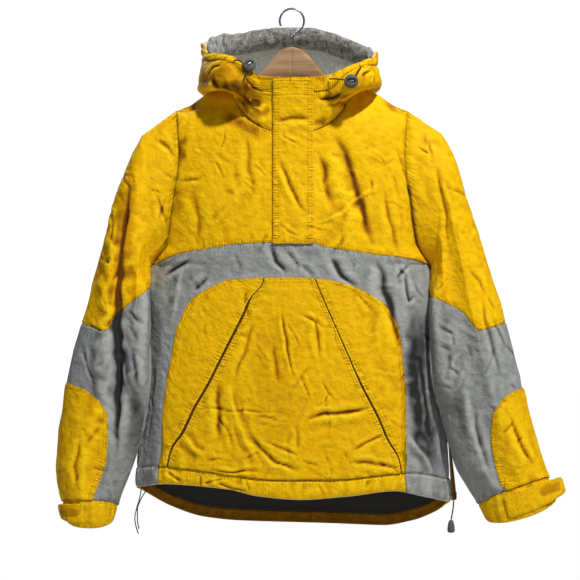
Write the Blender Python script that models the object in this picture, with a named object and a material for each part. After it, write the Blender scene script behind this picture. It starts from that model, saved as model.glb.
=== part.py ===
"""Anorak pullover hanging on a wooden hanger.

A padded half-zip anorak: yellow yokes, grey band and side panels, an arched kangaroo pocket, a hood with
fleece inside, set-in sleeves with forearm patches and tabbed cuffs. Each cut piece is one closed wall of
cloth, 0.3 mm from its neighbour. The origin is the inside of the hook's top, +X is the garment's left
hand seen from the front, the front faces -Y and +Z is up.

Tables are in millimetres and measured as a drop below the hook, and `mm` turns them into metres.
"""

from bisect import bisect_right
from collections import namedtuple
from math import asin, cos, pi, radians, sin, sqrt

import bmesh
import bpy
from mathutils import Vector

# Driving dimensions, in millimetres
MM = 0.001
WALL = 3.0  # padded cloth: shell, wadding and lining together
SEAM = 0.3
POCKET_PLY = 2.2
FLAP_PLY = 2.6
LINING_PLY = 2.0
LINING_GAP = 0.7  # the lining hangs a little off the shell

NECK_HALF_WIDTH = 92.0
NECK_SIDE_DROP = 119.0
NECK_FRONT_DROP = 208.0
NECK_BACK_DROP = 113.0
RIDGE_REACH = 105.0  # how far below the shoulder line the torso takes to fill out
RIDGE_POWER = 0.68
ARMHOLE_TOP = 163.0
UNDERARM = 414.0
UNDERARM_EASE = 1.0  # the seams open a little where four pieces meet under the arm
ARMHOLE_HALF_DEPTH = 40.0
ZIP_HALF_WIDTH = 6.0

YELLOW = (0.80, 0.42, 0.012)
GREY = (0.28, 0.30, 0.30)
FLEECE = (0.23, 0.25, 0.245)
DARK = (0.06, 0.062, 0.06)
WOOD = (0.36, 0.22, 0.10)
STEEL = (0.35, 0.35, 0.36)
PLASTIC = (0.13, 0.145, 0.125)
BRASS = (0.33, 0.15, 0.04)

# Torso: how wide and deep the hanging body is at each drop, and how round its section is
Section = namedtuple("Section", "drop centre half_width front back roundness")
TORSO = (
    Section(60, 0, 187, 54, 50, 1.2),
    Section(118, 0, 187, 60, 54, 1.2),
    Section(164, 0, 187, 64, 57, 1.2),
    Section(239, 0, 182, 69, 60, 1.5),
    Section(320, 0, 192, 74, 63, 1.6),
    Section(380, 0, 202, 77, 63, 1.4),
    Section(414, -1, 222, 78, 62, 1.1),
    Section(470, -1, 233, 79, 61, 0.95),
    Section(560, 0, 243, 79, 60, 0.9),
    Section(680, 1, 250, 76, 57, 0.9),
    Section(780, 2, 255, 72, 53, 0.9),
    Section(850, 3, 257, 69, 49, 0.9),
)

# Lines across the garment: a drop for each place across, from the wearer's right side to the left
Line = namedtuple("Line", "across drop")
SHOULDER_LINE = (Line(0, 78), Line(88, 117), Line(146, 139), Line(187, 163), Line(226, 189))
YOKE_SEAM = (Line(-222, 414), Line(-187, 396), Line(-137, 388), Line(-103, 383), Line(-30, 380),
             Line(28, 379), Line(61, 388), Line(100, 393), Line(136, 398.5), Line(179, 403),
             Line(222, 414))
CASING_SEAM = (Line(-256, 742), Line(-215, 737), Line(-135, 743), Line(-27, 755), Line(73, 755),
               Line(151, 748), Line(190, 747), Line(258, 760))
FRONT_HEM = (Line(-256, 774), Line(-198, 765), Line(-100, 771), Line(-57, 781), Line(16, 787),
             Line(92, 782), Line(162, 775), Line(209, 785), Line(258, 798))
BACK_BAND_TOP = (Line(-222, 414), Line(-150, 396), Line(0, 390), Line(150, 396), Line(222, 414))
BACK_BAND_FOOT = (Line(-236, 482), Line(-150, 470), Line(0, 466), Line(150, 470), Line(236, 482))
BACK_HEM = (Line(-256, 775), Line(-196, 811), Line(-144, 829), Line(-84, 836), Line(76, 841),
            Line(148, 843), Line(196, 834), Line(235, 817), Line(258, 799))
LINING_TOP_DROP = 560.0
FACING_HEIGHT = 19.0

# The arched pocket, front view: the arch's three runs and the two slanted mouths, each from its top down
ARCH_RIGHT = (Line(-62, 436.2), Line(-105, 440), Line(-128, 450.5), Line(-149, 462), Line(-164, 475.5),
              Line(-175, 497), Line(-184, 519.5), Line(-194, 571), Line(-202, 619), Line(-206.5, 661),
              Line(-208, 710), Line(-222, 765))
ARCH_TOP = (Line(-30, 435.5), Line(-5, 435), Line(30, 436))
ARCH_LEFT = (Line(54, 438.6), Line(66, 441.5), Line(94, 448.5), Line(133, 468), Line(152, 481),
             Line(166, 506), Line(173, 528.5), Line(177, 574), Line(181.5, 620), Line(182, 765))
MOUTH_RIGHT = (Line(-42, 430), Line(-46, 444), Line(-65, 468), Line(-75.6, 492), Line(-105, 550),
               Line(-133.8, 607), Line(-153.5, 640.6), Line(-174, 682), Line(-191.4, 708),
               Line(-200, 745), Line(-203, 765))
MOUTH_LEFT = (Line(36, 430), Line(37, 439), Line(49, 468), Line(66.4, 507), Line(89.2, 559),
              Line(108.8, 603), Line(137.2, 658), Line(151.9, 692), Line(170, 724), Line(174, 745),
              Line(175.5, 765))

MOUTH_HALF_SLOT = 0.6
POCKET_PROUD = 0.8  # the centre piece's hemmed edge stands off the side pieces

# Storm flap: half of it on the hood's collar, half on the yoke
FLAP_RIGHT_EDGE = -30.0
FLAP_LEFT_EDGE = 34.0
FLAP_TOP = 122.0
FLAP_FOOT = 382.0
FLAP_GAP = 1.3

# Hood: hoops from the neck seam over the pouch and the hanging bag to the face edge
Hoop = namedtuple(
    "Hoop", "half_width y_front y_pouch y_side y_back drop_front drop_right drop_left drop_side drop_back")
HOOD = (
    Hoop(92, -66, -60, 0, 37, 208, 192, 192, 119, 113),
    Hoop(106, -67, -67, 3, 60, 186, 167, 167, 118, 108),
    Hoop(131, -69, -84, 4, 94, 166, 149, 150, 125, 146),
    Hoop(151, -72, -96, 4, 130, 150, 136, 139, 131, 186),
    Hoop(153, -73, -95, 6, 152, 141, 109, 120, 108, 150),
    Hoop(143, -75, -80, 10, 141, 130, 95, 109, 86, 78),
    Hoop(147, -77, -57, 14, 99, 119, 82, 98, 60, 14),
)
HOOD_EASING = 2
NECK_JOIN = 1.5  # hoops over which the hood blends into the neck seam
NECK_LIFT = 0.5
NECK_SIDE_LIFT = 3.0  # the seam stands higher at the neck's sides, above the shoulder
YOKE_CLEARANCE = 7.0
HOOD_STATIONS = (0.0, 16.0, 40.0, 90.0, 180.0)
ROLL_SPAN = (7, 25)  # first and last hood column that the roll covers
ROLL_HALF_HEIGHT = 17.0
ROLL_HALF_DEPTH = 9.0
ROLL_GAP = 2.5
ROLL_PROUD = 3.0
FLEECE_PLY = 2.5
CORD_RADIUS = 1.1
LOCK_RADIUS = 11.0
LOCK_HALF_DEPTH = 7.0
LOCK_GAP = 2.0
Lock = namedtuple("Lock", "x drop loop_reach tail_reach")
RIGHT_LOCK = Lock(-68, 105, (-26, 10), (-6, -22))
LEFT_LOCK = Lock(90, 129, (-28, 5), (16, 22))

# Sleeves: rings from the armhole to the cuff, outer and inner edge, half depth and middle in depth
Ring = namedtuple("Ring", "outer_x outer_drop inner_x inner_drop half_depth middle_y")
RIGHT_SLEEVE = (
    Ring(-243, 203, -230, 422, 43, -3),
    Ring(-262, 240, -232, 433, 45, -6),
    Ring(-280, 290, -230, 448, 47, -9),
    Ring(-297, 355, -226, 472, 48, -13),
    Ring(-314, 415, -223, 508, 48, -17),
    Ring(-329, 471, -221, 546, 48, -20),
    Ring(-345, 528, -220, 585, 47, -22),
    Ring(-360, 590, -222, 626, 46, -23),
    Ring(-371, 640, -231, 668, 45, -24),
    Ring(-378, 690, -243, 711, 43, -25),
    Ring(-380, 735, -258, 752, 41, -26),
    Ring(-378, 772, -270, 782, 38, -26),
    Ring(-374, 797, -277, 803, 36, -26),
)
LEFT_SLEEVE = (
    Ring(243, 203, 228, 424, 43, -3),
    Ring(264, 240, 228, 437, 45, -6),
    Ring(281, 298, 223, 457, 47, -9),
    Ring(298, 352, 218, 484, 48, -13),
    Ring(316, 411, 215, 516, 48, -17),
    Ring(334, 468, 214, 549, 48, -20),
    Ring(350, 528, 215, 582, 47, -22),
    Ring(365, 585, 221, 616, 46, -23),
    Ring(378, 635, 234, 652, 45, -24),
    Ring(391, 685, 247, 697, 43, -25),
    Ring(403, 722, 261, 741, 41, -26),
    Ring(410, 742, 280, 774, 38, -26),
    Ring(416, 757, 297, 802, 36, -26),
)
RIGHT_CUFF = Ring(-369, 820, -283, 824, 31, -28)
LEFT_CUFF = Ring(427, 788, 309, 824, 31, -28)
CUFF_BULGE = 12.0  # how far the front of the cuff's two edges bows along the sleeve
SLEEVE_VALLEY = 9.0
SLEEVE_CLEARANCE = 1.0  # off the torso where the sleeve starts, and lower down
SLEEVE_CLEARANCE_LOOSE = 4.0
SIDE_HUG_IN = 60.0  # the sleeve folds round a point this far in from the side, and this far back
SIDE_HUG_BACK = 30.0
Tab = namedtuple("Tab", "start end reach")  # degrees round the cuff's front, and the free end's length
RIGHT_TAB = Tab(78, 12, 3)
LEFT_TAB = Tab(112, 30, 16)
TAB_GAP = 0.8
TAB_PLY = 2.2
UPPER_SEAM = ((0.0, 6.65), (0.35, 6.45), (0.5, 5.6), (0.8, 4.35), (1.0, 3.3))
RIGHT_PATCH = (Line(-430, 600), Line(-361, 604), Line(-329, 613), Line(-304, 632), Line(-292, 657),
               Line(-291, 684), Line(-294, 724), Line(-304, 756), Line(-318, 788), Line(-322, 830),
               Line(-430, 830))
LEFT_PATCH = (Line(460, 606), Line(377, 611), Line(349, 618), Line(329, 632), Line(318, 652),
              Line(316, 690), Line(323, 735), Line(333, 778), Line(340, 830), Line(460, 830))

# Side zip and cords; a route's places are x, y and drop
SIDE_ZIP_TOP = 640.0
SIDE_ZIP_FOOT = 796.0
SIDE_ZIP_HALF_WIDTH = 7.0
SIDE_ZIP_GAP = 1.2
SIDE_ZIP_PLY = 1.6
PULL_CORD = ((262.5, -1, 797), (262.2, -1, 806), (260.5, -1, 817), (258.5, -1, 828))
BELL_PROFILE = ((0, 2.4), (3, 4.2), (9, 5.6), (15, 6.1), (18.5, 5.6), (20, 4.0))
HEM_CORD_RADIUS = 0.9
HEM_CORD_LONG = ((-242, -27, 774), (-244.5, -27, 789), (-249.5, -27, 806), (-252.5, -26, 822),
                 (-250.5, -25, 836), (-247, -25, 847))
HEM_CORD_SHORT = ((-228, -31, 770), (-236, -31, 780), (-243, -30.5, 792), (-248, -30, 808),
                  (-248, -29.5, 824), (-245.5, -29, 839))

# Hanger: two wooden arms, a section at each place along, and a wire hook
Arm = namedtuple("Arm", "along top foot half_thickness")
HANGER_ARM = (
    Arm(0, 60, 112, 6.0),
    Arm(12, 63, 113, 6.5),
    Arm(30, 77, 122, 7.0),
    Arm(50, 101, 139, 7.0),
    Arm(90, 128, 163, 7.0),
    Arm(146, 153, 187, 6.5),
    Arm(190, 182, 209, 6.0),
    Arm(212, 199, 218, 5.5),
)
HANGER_STATIONS = (0.15, 6, 12, 20, 30, 40, 50, 70, 90, 118, 146, 168, 190, 203, 212)
HANGER_CORNER = 3.0
HOOK_RADIUS = 19.7
HOOK_WIRE = 1.7

# How finely the pieces are divided
SLEEVE_COLUMNS = 20
HOOD_COLUMNS = 32
FRONT_COLUMNS = 24
BACK_COLUMNS = 20
YOKE_ROWS = SLEEVE_COLUMNS // 2


def mm(x, y, drop):
    """A point in metres from millimetres and a drop below the hook."""
    return Vector((x * MM, y * MM, -drop * MM))


def smooth(stations, values, at):
    """Monotone cubic curve through values at ascending stations, level beyond both ends."""
    if at <= stations[0]:
        return values[0]
    if at >= stations[-1]:
        return values[-1]
    spot = bisect_right(stations, at) - 1

    def slope(index):
        return (values[index + 1] - values[index]) / (stations[index + 1] - stations[index])

    def tangent(index):
        if index == 0:
            return slope(0)
        if index == len(stations) - 1:
            return slope(index - 1)
        before = slope(index - 1)
        after = slope(index)
        if before * after <= 0:
            return 0.0
        return 2 * before * after / (before + after)

    width = stations[spot + 1] - stations[spot]
    t = (at - stations[spot]) / width
    return (values[spot] * (1 + 2 * t) * (1 - t) ** 2
            + tangent(spot) * width * t * (1 - t) ** 2
            + values[spot + 1] * t * t * (3 - 2 * t)
            - tangent(spot + 1) * width * t * t * (1 - t))


def read_table(table, at):
    """A row of the table at a place between its rows; the first column is the station."""
    columns = list(zip(*table))
    values = [smooth(columns[0], column, at) for column in columns[1:]]
    return type(table[0])(at, *values)


def drop_of(line, x):
    """How far down a line across the garment runs at x."""
    return smooth([row.across for row in line], [row.drop for row in line], x)


def shoulder_drop(x):
    """The shoulder line, which both sides share."""
    return drop_of(SHOULDER_LINE, abs(x))


def fullness_below_shoulder(x, drop):
    """0 on the shoulder line, rising to 1 where the torso is full."""
    reach = min(max(drop - shoulder_drop(x), 0.0) / RIDGE_REACH, 1.0)
    return (1 - (1 - reach) ** 2) ** RIDGE_POWER


def armhole_depth(drop):
    """Half the depth of the armhole's oval at a drop, 0 above and below it."""
    t = (drop - ARMHOLE_TOP) / (UNDERARM - ARMHOLE_TOP)
    if 0 < t < 1:
        return ARMHOLE_HALF_DEPTH * 2 * sqrt(t * (1 - t))
    return 0.0


def torso_point(face, across, drop):
    """The torso's outside. face is -1 front or 1 back; across runs from -1 to 1."""
    section = read_table(TORSO, drop)
    x = section.centre + section.half_width * across
    edge = armhole_depth(drop)
    depth = section.front if face < 0 else section.back
    crown = max(0.0, 1 - across ** 2) ** (section.roundness / 2)
    y = face * (edge + (depth - edge) * crown * fullness_below_shoulder(x, drop))
    return mm(x, y, drop)


def torso_across(x, drop):
    """The share of the half width at x."""
    section = read_table(TORSO, drop)
    return max(-1.0, min(1.0, (x - section.centre) / section.half_width))


def torso_inward(face, across, drop):
    """The direction into the cloth, level along edges that two pieces share."""
    nudge = 0.012
    left = torso_point(face, max(-1.0, across - nudge), drop)
    right = torso_point(face, min(1.0, across + nudge), drop)
    upper = torso_point(face, across, drop + 0.5)
    lower = torso_point(face, across, drop + 3.5)
    outward = (right - left).cross(upper - lower)
    if outward.y * face < 0:
        outward.negate()
    outward.normalize()
    x = torso_point(face, across, drop).x / MM
    below = drop - shoulder_drop(x)
    ridge_share = max(0.0, 1 - below / 14.0)
    outward = outward.lerp(Vector((0, 0, 1)), ridge_share)
    edge_share = max(0.0, 1 - (1 - abs(across)) / 0.04)
    edge_share *= max(0.0, 1 - armhole_depth(drop) / 12.0) if drop > 300 else 0.0
    outward = outward.lerp(Vector((1 if across > 0 else -1, 0, 0)), edge_share)
    return -outward.normalized()


def torso_cell(face, across, drop):
    """A point of the torso with its inward direction."""
    return torso_point(face, across, drop), torso_inward(face, across, drop)


def spread(start, end, count):
    """Evenly spaced values, both ends included."""
    return [start + (end - start) * index / count for index in range(count + 1)]


def trimmed(rows, top=True, foot=True, sides=True):
    """The same grid drawn in at its edges, to leave a seam's gap to its neighbours."""
    rows = [list(row) for row in rows]

    def drawn(cell, towards):
        way = (towards[0] - cell[0]).normalized()
        return cell[0] + way * SEAM * MM, cell[1]

    if top:
        rows[0] = [drawn(cell, beside) for cell, beside in zip(rows[0], rows[1])]
    if foot:
        rows[-1] = [drawn(cell, beside) for cell, beside in zip(rows[-1], rows[-2])]
    if sides:
        for row in rows:
            row[0] = drawn(row[0], row[1])
            row[-1] = drawn(row[-1], row[-2])
    return rows


def material(name, colour, roughness=0.8, metallic=0.0):
    """A Principled material, made once for each name."""
    found = bpy.data.materials.get(name)
    if found:
        return found
    made = bpy.data.materials.new(name)
    made.use_nodes = True
    shader = made.node_tree.nodes["Principled BSDF"]
    shader.inputs["Base Color"].default_value = (*colour, 1.0)
    shader.inputs["Roughness"].default_value = roughness
    shader.inputs["Metallic"].default_value = metallic
    made.diffuse_color = (*colour, 1.0)
    return made


def add_object(name, mesh_builder, finish):
    """Link a new object made from a bmesh, facing outwards and shaded smooth."""
    bmesh.ops.recalc_face_normals(mesh_builder, faces=mesh_builder.faces[:])
    mesh = bpy.data.meshes.new(name)
    mesh_builder.to_mesh(mesh)
    mesh_builder.free()
    mesh.materials.append(finish)
    mesh.shade_smooth()
    mesh.set_sharp_from_angle(angle=radians(40))
    made = bpy.data.objects.new(name, mesh)
    bpy.context.scene.collection.objects.link(made)
    return made


def wall(name, rows, finish, near=0.0, thickness=WALL, closed=False):
    """A closed wall of cloth over a grid of (point, inward) cells.

    near is how far the outer side lies inside the grid's points; a negative one moves the piece out.
    closed joins the last column to the first, as on a tube.
    """
    building = bmesh.new()
    layers = []
    for depth in (near, near + thickness):
        layers.append([[building.verts.new(point + inward * depth * MM) for point, inward in row]
                       for row in rows])
    outer, inner = layers
    row_count = len(rows)
    column_count = len(rows[0])
    last = column_count if closed else column_count - 1
    for row in range(row_count - 1):
        for column in range(last):
            beside = (column + 1) % column_count
            for layer in layers:
                here = layer[row][column]
                right = layer[row][beside]
                below = layer[row + 1][column]
                across = layer[row + 1][beside]
                building.faces.new((here, right, across))
                building.faces.new((here, across, below))
    for row in (0, row_count - 1):
        for column in range(last):
            beside = (column + 1) % column_count
            building.faces.new((outer[row][column], outer[row][beside], inner[row][beside]))
            building.faces.new((outer[row][column], inner[row][beside], inner[row][column]))
    if not closed:
        for column in (0, column_count - 1):
            for row in range(row_count - 1):
                building.faces.new((outer[row][column], outer[row + 1][column], inner[row + 1][column]))
                building.faces.new((outer[row][column], inner[row + 1][column], inner[row][column]))
    return add_object(name, building, finish)


def cut_to_outline(target, outline, y_far=200.0):
    """Keep only what lies inside a front-view outline, with a hidden prism as the cutter."""
    building = bmesh.new()
    front = [building.verts.new(mm(x, -200.0, drop)) for x, drop in outline]
    back = [building.verts.new(mm(x, y_far, drop)) for x, drop in outline]
    building.faces.new(front)
    building.faces.new(back)
    for index in range(len(outline)):
        beside = (index + 1) % len(outline)
        building.faces.new((front[index], front[beside], back[beside], back[index]))
    cutter = add_object(target.name + "_cutter", building, material("cutter", DARK))
    cutter.hide_render = True
    cutter.display_type = "WIRE"
    cut = target.modifiers.new("outline", "BOOLEAN")
    cut.operation = "INTERSECT"
    cut.object = cutter


def tube(name, points, radius, finish, resolution=2, cyclic=False):
    """A round tube along points in metres."""
    curve = bpy.data.curves.new(name, "CURVE")
    curve.dimensions = "3D"
    curve.bevel_depth = radius * MM
    curve.bevel_resolution = resolution
    curve.use_fill_caps = not cyclic
    spline = curve.splines.new("POLY")
    spline.points.add(len(points) - 1)
    for spot, point in zip(spline.points, points):
        spot.co = (*point, 1.0)
    spline.use_cyclic_u = cyclic
    curve.materials.append(finish)
    made = bpy.data.objects.new(name, curve)
    bpy.context.scene.collection.objects.link(made)
    return made


# ---------------------------------------------------------------- the torso's panels


def neckline_cell(angle):
    """The neck seam at an angle round from the front centre, in degrees, as torso cells."""
    turn = radians(angle)
    x = NECK_HALF_WIDTH * sin(turn)
    if cos(turn) > 1e-9:
        face = -1
        drop = NECK_SIDE_DROP + (NECK_FRONT_DROP - NECK_SIDE_DROP) * cos(turn) ** 0.75
    else:
        face = 1
        drop = NECK_SIDE_DROP + (NECK_BACK_DROP - NECK_SIDE_DROP) * abs(cos(turn)) ** 0.75
    drop = max(drop, shoulder_drop(x) + 0.2)
    return face, torso_across(x, drop), drop


def armhole_drop(share):
    """The drop of the armhole seam at a share of its height, from the shoulder to the underarm."""
    return ARMHOLE_TOP + 0.3 + (UNDERARM - ARMHOLE_TOP - 0.8) * share


def yoke_rows(face, side, seam, inner_edge):
    """Half a yoke: columns from the centre out to the armhole, rows from neck and shoulder down."""
    tops = []
    quarter = HOOD_COLUMNS // 4
    for index in range(quarter):
        angle = 90 * index / quarter
        turned = side * (angle if face < 0 else 180 - angle)
        _, across, drop = neckline_cell(turned)
        tops.append((across, drop))
    if inner_edge:
        drop = tops[0][1]
        tops[0] = (torso_across(side * inner_edge, drop), drop)
    for x in (NECK_HALF_WIDTH, 115.0, 140.0, 165.0):
        drop = shoulder_drop(x) + 0.3
        tops.append((torso_across(side * x, drop), drop))
    tops.append((float(side), armhole_drop(0)))
    grid = []
    last = len(tops) - 1
    inner_across = torso_across(side * inner_edge, 380)
    for row in range(YOKE_ROWS + 1):
        down = (1 - cos(pi * row / YOKE_ROWS)) / 2
        cells = []
        for index, (top_across, top_drop) in enumerate(tops):
            share = index / last
            foot_across = side * sin(pi / 2 * share)
            if index == 0:
                foot_across = inner_across
            across = top_across + (foot_across - top_across) * down ** 0.8
            foot_x = torso_point(face, foot_across, UNDERARM).x / MM
            foot_drop = drop_of(seam, foot_x)
            foot_drop -= UNDERARM_EASE * abs(foot_across) ** 8
            if index == last:
                foot_drop = armhole_drop(1)
            drop = top_drop + (foot_drop - top_drop) * down
            cells.append(torso_cell(face, across, drop))
        grid.append(cells)
    return grid


def band_rows(face, top_line, foot_line, columns, rows, span=(-1.0, 1.0), shrink=0.0):
    """A panel between two lines, from side seam to side seam or between two shares of it."""
    grid = []
    turns = [asin(share) for share in span]
    for row in range(rows + 1):
        cells = []
        for turn in spread(turns[0], turns[1], columns):
            across = sin(turn)
            top_x = torso_point(face, across, top_line[0].drop).x / MM
            foot_x = torso_point(face, across, foot_line[0].drop).x / MM
            top = drop_of(top_line, top_x) + shrink
            foot = drop_of(foot_line, foot_x) - shrink
            if top_line[0].drop == UNDERARM:
                top += UNDERARM_EASE * abs(across) ** 8
            drop = top + (foot - top) * row / rows
            cells.append(torso_cell(face, across, drop))
        grid.append(cells)
    return grid


def centre_strip_rows(half_width, top_drop, foot_drop, rows):
    """A narrow upright strip down the front's middle."""
    return [[torso_cell(-1, torso_across(x, drop), drop) for x in (-half_width, half_width)]
            for drop in spread(top_drop, foot_drop, rows)]


def build_torso():
    """Yokes, front zip strip, band, lower panels, hem casings, lining and facing."""
    yellow = material("yellow_shell", YELLOW)
    grey = material("grey_shell", GREY)
    dark = material("dark_lining", DARK)
    gap = ZIP_HALF_WIDTH + SEAM
    wall("front_yoke_right", trimmed(yoke_rows(-1, -1, YOKE_SEAM, gap)), yellow)
    wall("front_yoke_left", trimmed(yoke_rows(-1, 1, YOKE_SEAM, gap)), yellow)
    wall("front_zip", centre_strip_rows(ZIP_HALF_WIDTH, NECK_FRONT_DROP + 0.4, 378.4, 8), dark)
    front_lower = band_rows(-1, YOKE_SEAM, CASING_SEAM, FRONT_COLUMNS, 7)
    wall("front_lower", trimmed(front_lower), grey)
    for name, span, finish in (("hem_casing_side_right", (-1.0, -0.851), grey),
                               ("hem_casing_front", (-0.85, 0.704), yellow),
                               ("hem_casing_side_left", (0.705, 1.0), grey)):
        columns = max(3, round(20 * abs(asin(span[1]) - asin(span[0])) / pi))
        rows = band_rows(-1, CASING_SEAM, FRONT_HEM, columns, 2, span)
        wall(name, trimmed(rows, foot=False), finish)
    back_yoke_halves = [yoke_rows(1, side, BACK_BAND_TOP, 0.0) for side in (-1, 1)]
    back_yoke = [left[::-1] + right[1:] for left, right in zip(*back_yoke_halves)]
    wall("back_yoke", trimmed(back_yoke), yellow)
    wall("back_band", trimmed(band_rows(1, BACK_BAND_TOP, BACK_BAND_FOOT, BACK_COLUMNS, 3)), grey)
    back_lower = band_rows(1, BACK_BAND_FOOT, BACK_HEM, BACK_COLUMNS, 7)
    wall("back_lower", trimmed(back_lower, foot=False), yellow)
    facing_top = [Line(row.across, row.drop - FACING_HEIGHT) for row in BACK_HEM]
    lining_top = [Line(row.across, LINING_TOP_DROP) for row in BACK_HEM]
    lining = [row[1:-1] for row in band_rows(1, lining_top, facing_top, BACK_COLUMNS, 6)]
    wall("back_lining", trimmed(lining), dark, near=WALL + LINING_GAP, thickness=LINING_PLY)
    facing = [row[1:-1] for row in band_rows(1, facing_top, BACK_HEM, BACK_COLUMNS, 1, shrink=0.5)]
    wall("back_facing", trimmed(facing), yellow, near=WALL + LINING_GAP, thickness=LINING_PLY)
    return front_lower


def shifted(line, by):
    """A line's places as plain points, moved across."""
    return [(row.across + by, row.drop) for row in line]


def build_pocket(front_lower):
    """The arched pocket: a centre piece and two side pieces cut from layers over the front panel."""
    yellow = material("yellow_shell", YELLOW)
    centre = (shifted(MOUTH_RIGHT, MOUTH_HALF_SLOT)[:0:-1] + shifted(ARCH_TOP, 0)
              + shifted(MOUTH_LEFT, -MOUTH_HALF_SLOT)[1:])
    right = shifted(ARCH_RIGHT, 0)[::-1] + shifted(MOUTH_RIGHT, -MOUTH_HALF_SLOT)[1:]
    left = shifted(ARCH_LEFT, 0)[::-1] + shifted(MOUTH_LEFT, MOUTH_HALF_SLOT)[1:]
    for name, outline, ply in (("pocket_centre", centre, POCKET_PLY + POCKET_PROUD),
                               ("pocket_side_right", right, POCKET_PLY),
                               ("pocket_side_left", left, POCKET_PLY)):
        layer = wall(name, trimmed(front_lower), yellow, near=-(SEAM + ply), thickness=ply)
        cut_to_outline(layer, outline, y_far=0.0)


# ---------------------------------------------------------------- the hood


def hood_raw(along, angle):
    """The hood's outside before it is lifted clear of the shoulders, in millimetres."""
    turn = abs((angle + 180) % 360 - 180)
    side_left = (angle % 360) < 180
    columns = list(zip(*HOOD))
    stations = list(range(len(HOOD)))
    row = Hoop(*[smooth(stations, column, along) for column in columns])
    drop_pouch = row.drop_left if side_left else row.drop_right
    y = smooth(HOOD_STATIONS, (row.y_front, row.y_front, row.y_pouch, row.y_side, row.y_back), turn)
    drop = smooth(HOOD_STATIONS,
                  (row.drop_front, row.drop_front, drop_pouch, row.drop_side, row.drop_back), turn)
    if turn > 90:
        lean = cos(radians(turn)) ** 2
        y = row.y_side + (row.y_back - row.y_side) * abs(cos(radians(turn))) ** 0.9
        drop = row.drop_side + (row.drop_back - row.drop_side) * lean
    x = row.half_width * sin(radians(angle))
    return Vector((x, y, drop))


def hood_point(along, angle):
    """The hood's outside, joined to the neck seam and resting just clear of the yokes."""
    spot = hood_raw(along, angle)
    if along < NECK_JOIN:
        face, across, drop = neckline_cell(angle)
        seam = torso_point(face, across, drop) - torso_inward(face, across, drop) * 0.6 * MM
        lift = NECK_LIFT + NECK_SIDE_LIFT * abs(sin(radians(angle))) ** 6
        seam = Vector((seam.x / MM, seam.y / MM, -seam.z / MM - lift))
        spot = spot + (seam - hood_raw(0, angle)) * (1 - along / NECK_JOIN) ** 2
    turn = abs((angle + 180) % 360 - 180)
    beside_collar = min(1.0, max(0.0, (turn - 20) / 25))
    if along > 0.15 and beside_collar > 0:
        clear = YOKE_CLEARANCE * beside_collar
        face = -1 if spot.y < 0 else 1
        for _ in range(60):
            across = torso_across(spot.x, spot.z)
            above = shoulder_drop(spot.x) - clear > spot.z
            surface = torso_point(face, across, spot.z).y / MM
            if above or abs(spot.y) > abs(surface) + clear:
                break
            spot.z -= 1.0
    return mm(*spot)


def hood_rows(start, end, rows):
    """Hoops of cells from the neck seam to the face edge, with their folds eased."""
    points = [[hood_point(along, 360 * column / HOOD_COLUMNS) for column in range(HOOD_COLUMNS)]
              for along in spread(start, end, rows)]
    for _ in range(HOOD_EASING):
        for row in range(1, rows):
            for column in range(HOOD_COLUMNS):
                beside = (points[row - 1][column] + points[row + 1][column]) / 2
                points[row][column] = points[row][column].lerp(beside, 0.5)
    ways = []
    for row in range(rows + 1):
        before = points[max(row - 1, 0)]
        after = points[min(row + 1, rows)]
        ways.append([(after[column] - before[column]).cross(
            points[row][(column + 1) % HOOD_COLUMNS] - points[row][column - 1]).normalized()
            for column in range(HOOD_COLUMNS)])
    middle = mm(0, 20, 110)
    if ways[rows // 2][0].dot(middle - points[rows // 2][0]) < 0:
        ways = [[-way for way in row] for row in ways]
    return [list(zip(*pair)) for pair in zip(points, ways)]


def build_hood():
    """Hood shell, fleece lining and the rolled fleece edge at the back of the face opening."""
    yellow = material("yellow_shell", YELLOW)
    fleece = material("fleece", FLEECE, 0.95)
    last = len(HOOD) - 1.0
    hoops = hood_rows(0.0, last, 11)
    wall("hood_shell", hoops, yellow, closed=True)
    wall("hood_lining", hoops[1:], fleece, near=WALL + LINING_GAP, thickness=FLEECE_PLY, closed=True)
    build_roll(fleece, hoops)
    return hoops


def build_roll(fleece, hoops):
    """The face edge's fleece, rolled over inside the back of the opening."""
    building = bmesh.new()
    loops = []
    start, end = ROLL_SPAN
    for column in range(start, end + 1):
        taper = sqrt(max(0.12, sin(pi * (column - start) / (end - start))))
        rim, inward = hoops[-1][column]
        rise = (rim - hoops[-2][column][0]).normalized()
        half_height = ROLL_HALF_HEIGHT * taper
        half_depth = ROLL_HALF_DEPTH * taper
        layers = WALL + SEAM + FLEECE_PLY + ROLL_GAP
        middle = rim + inward * (layers + half_depth) * MM + rise * (ROLL_PROUD - half_height) * MM
        loops.append([building.verts.new(middle + rise * half_height * MM * cos(turn)
                                         + inward * half_depth * MM * sin(turn))
                      for turn in [2 * pi * step / 10 for step in range(10)]])
    for first, second in zip(loops, loops[1:]):
        for index in range(len(first)):
            beside = (index + 1) % len(first)
            building.faces.new((first[index], first[beside], second[beside]))
            building.faces.new((first[index], second[beside], second[index]))
    building.faces.new(loops[0])
    building.faces.new(loops[-1])
    add_object("hood_roll", building, fleece)


def flap_cell(x, drop):
    """The front's middle from the collar's edge down to the yoke seam, with its inward direction."""
    if drop > NECK_FRONT_DROP:
        return torso_cell(-1, torso_across(x, drop), drop)
    drops = [hoop.drop_front for hoop in HOOD][::-1]
    depths = [hoop.y_front for hoop in HOOD][::-1]
    return mm(x, smooth(drops, depths, drop), drop), Vector((0, 1, 0))


def build_flap():
    """The storm flap over the zip, from the collar's edge to the yoke seam."""
    rows = [[flap_cell(x, drop) for x in spread(FLAP_RIGHT_EDGE, FLAP_LEFT_EDGE, 4)]
            for drop in spread(FLAP_TOP, FLAP_FOOT, 10)]
    wall("storm_flap", rows, material("yellow_shell", YELLOW), near=-(FLAP_GAP + FLAP_PLY),
         thickness=FLAP_PLY)


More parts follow.
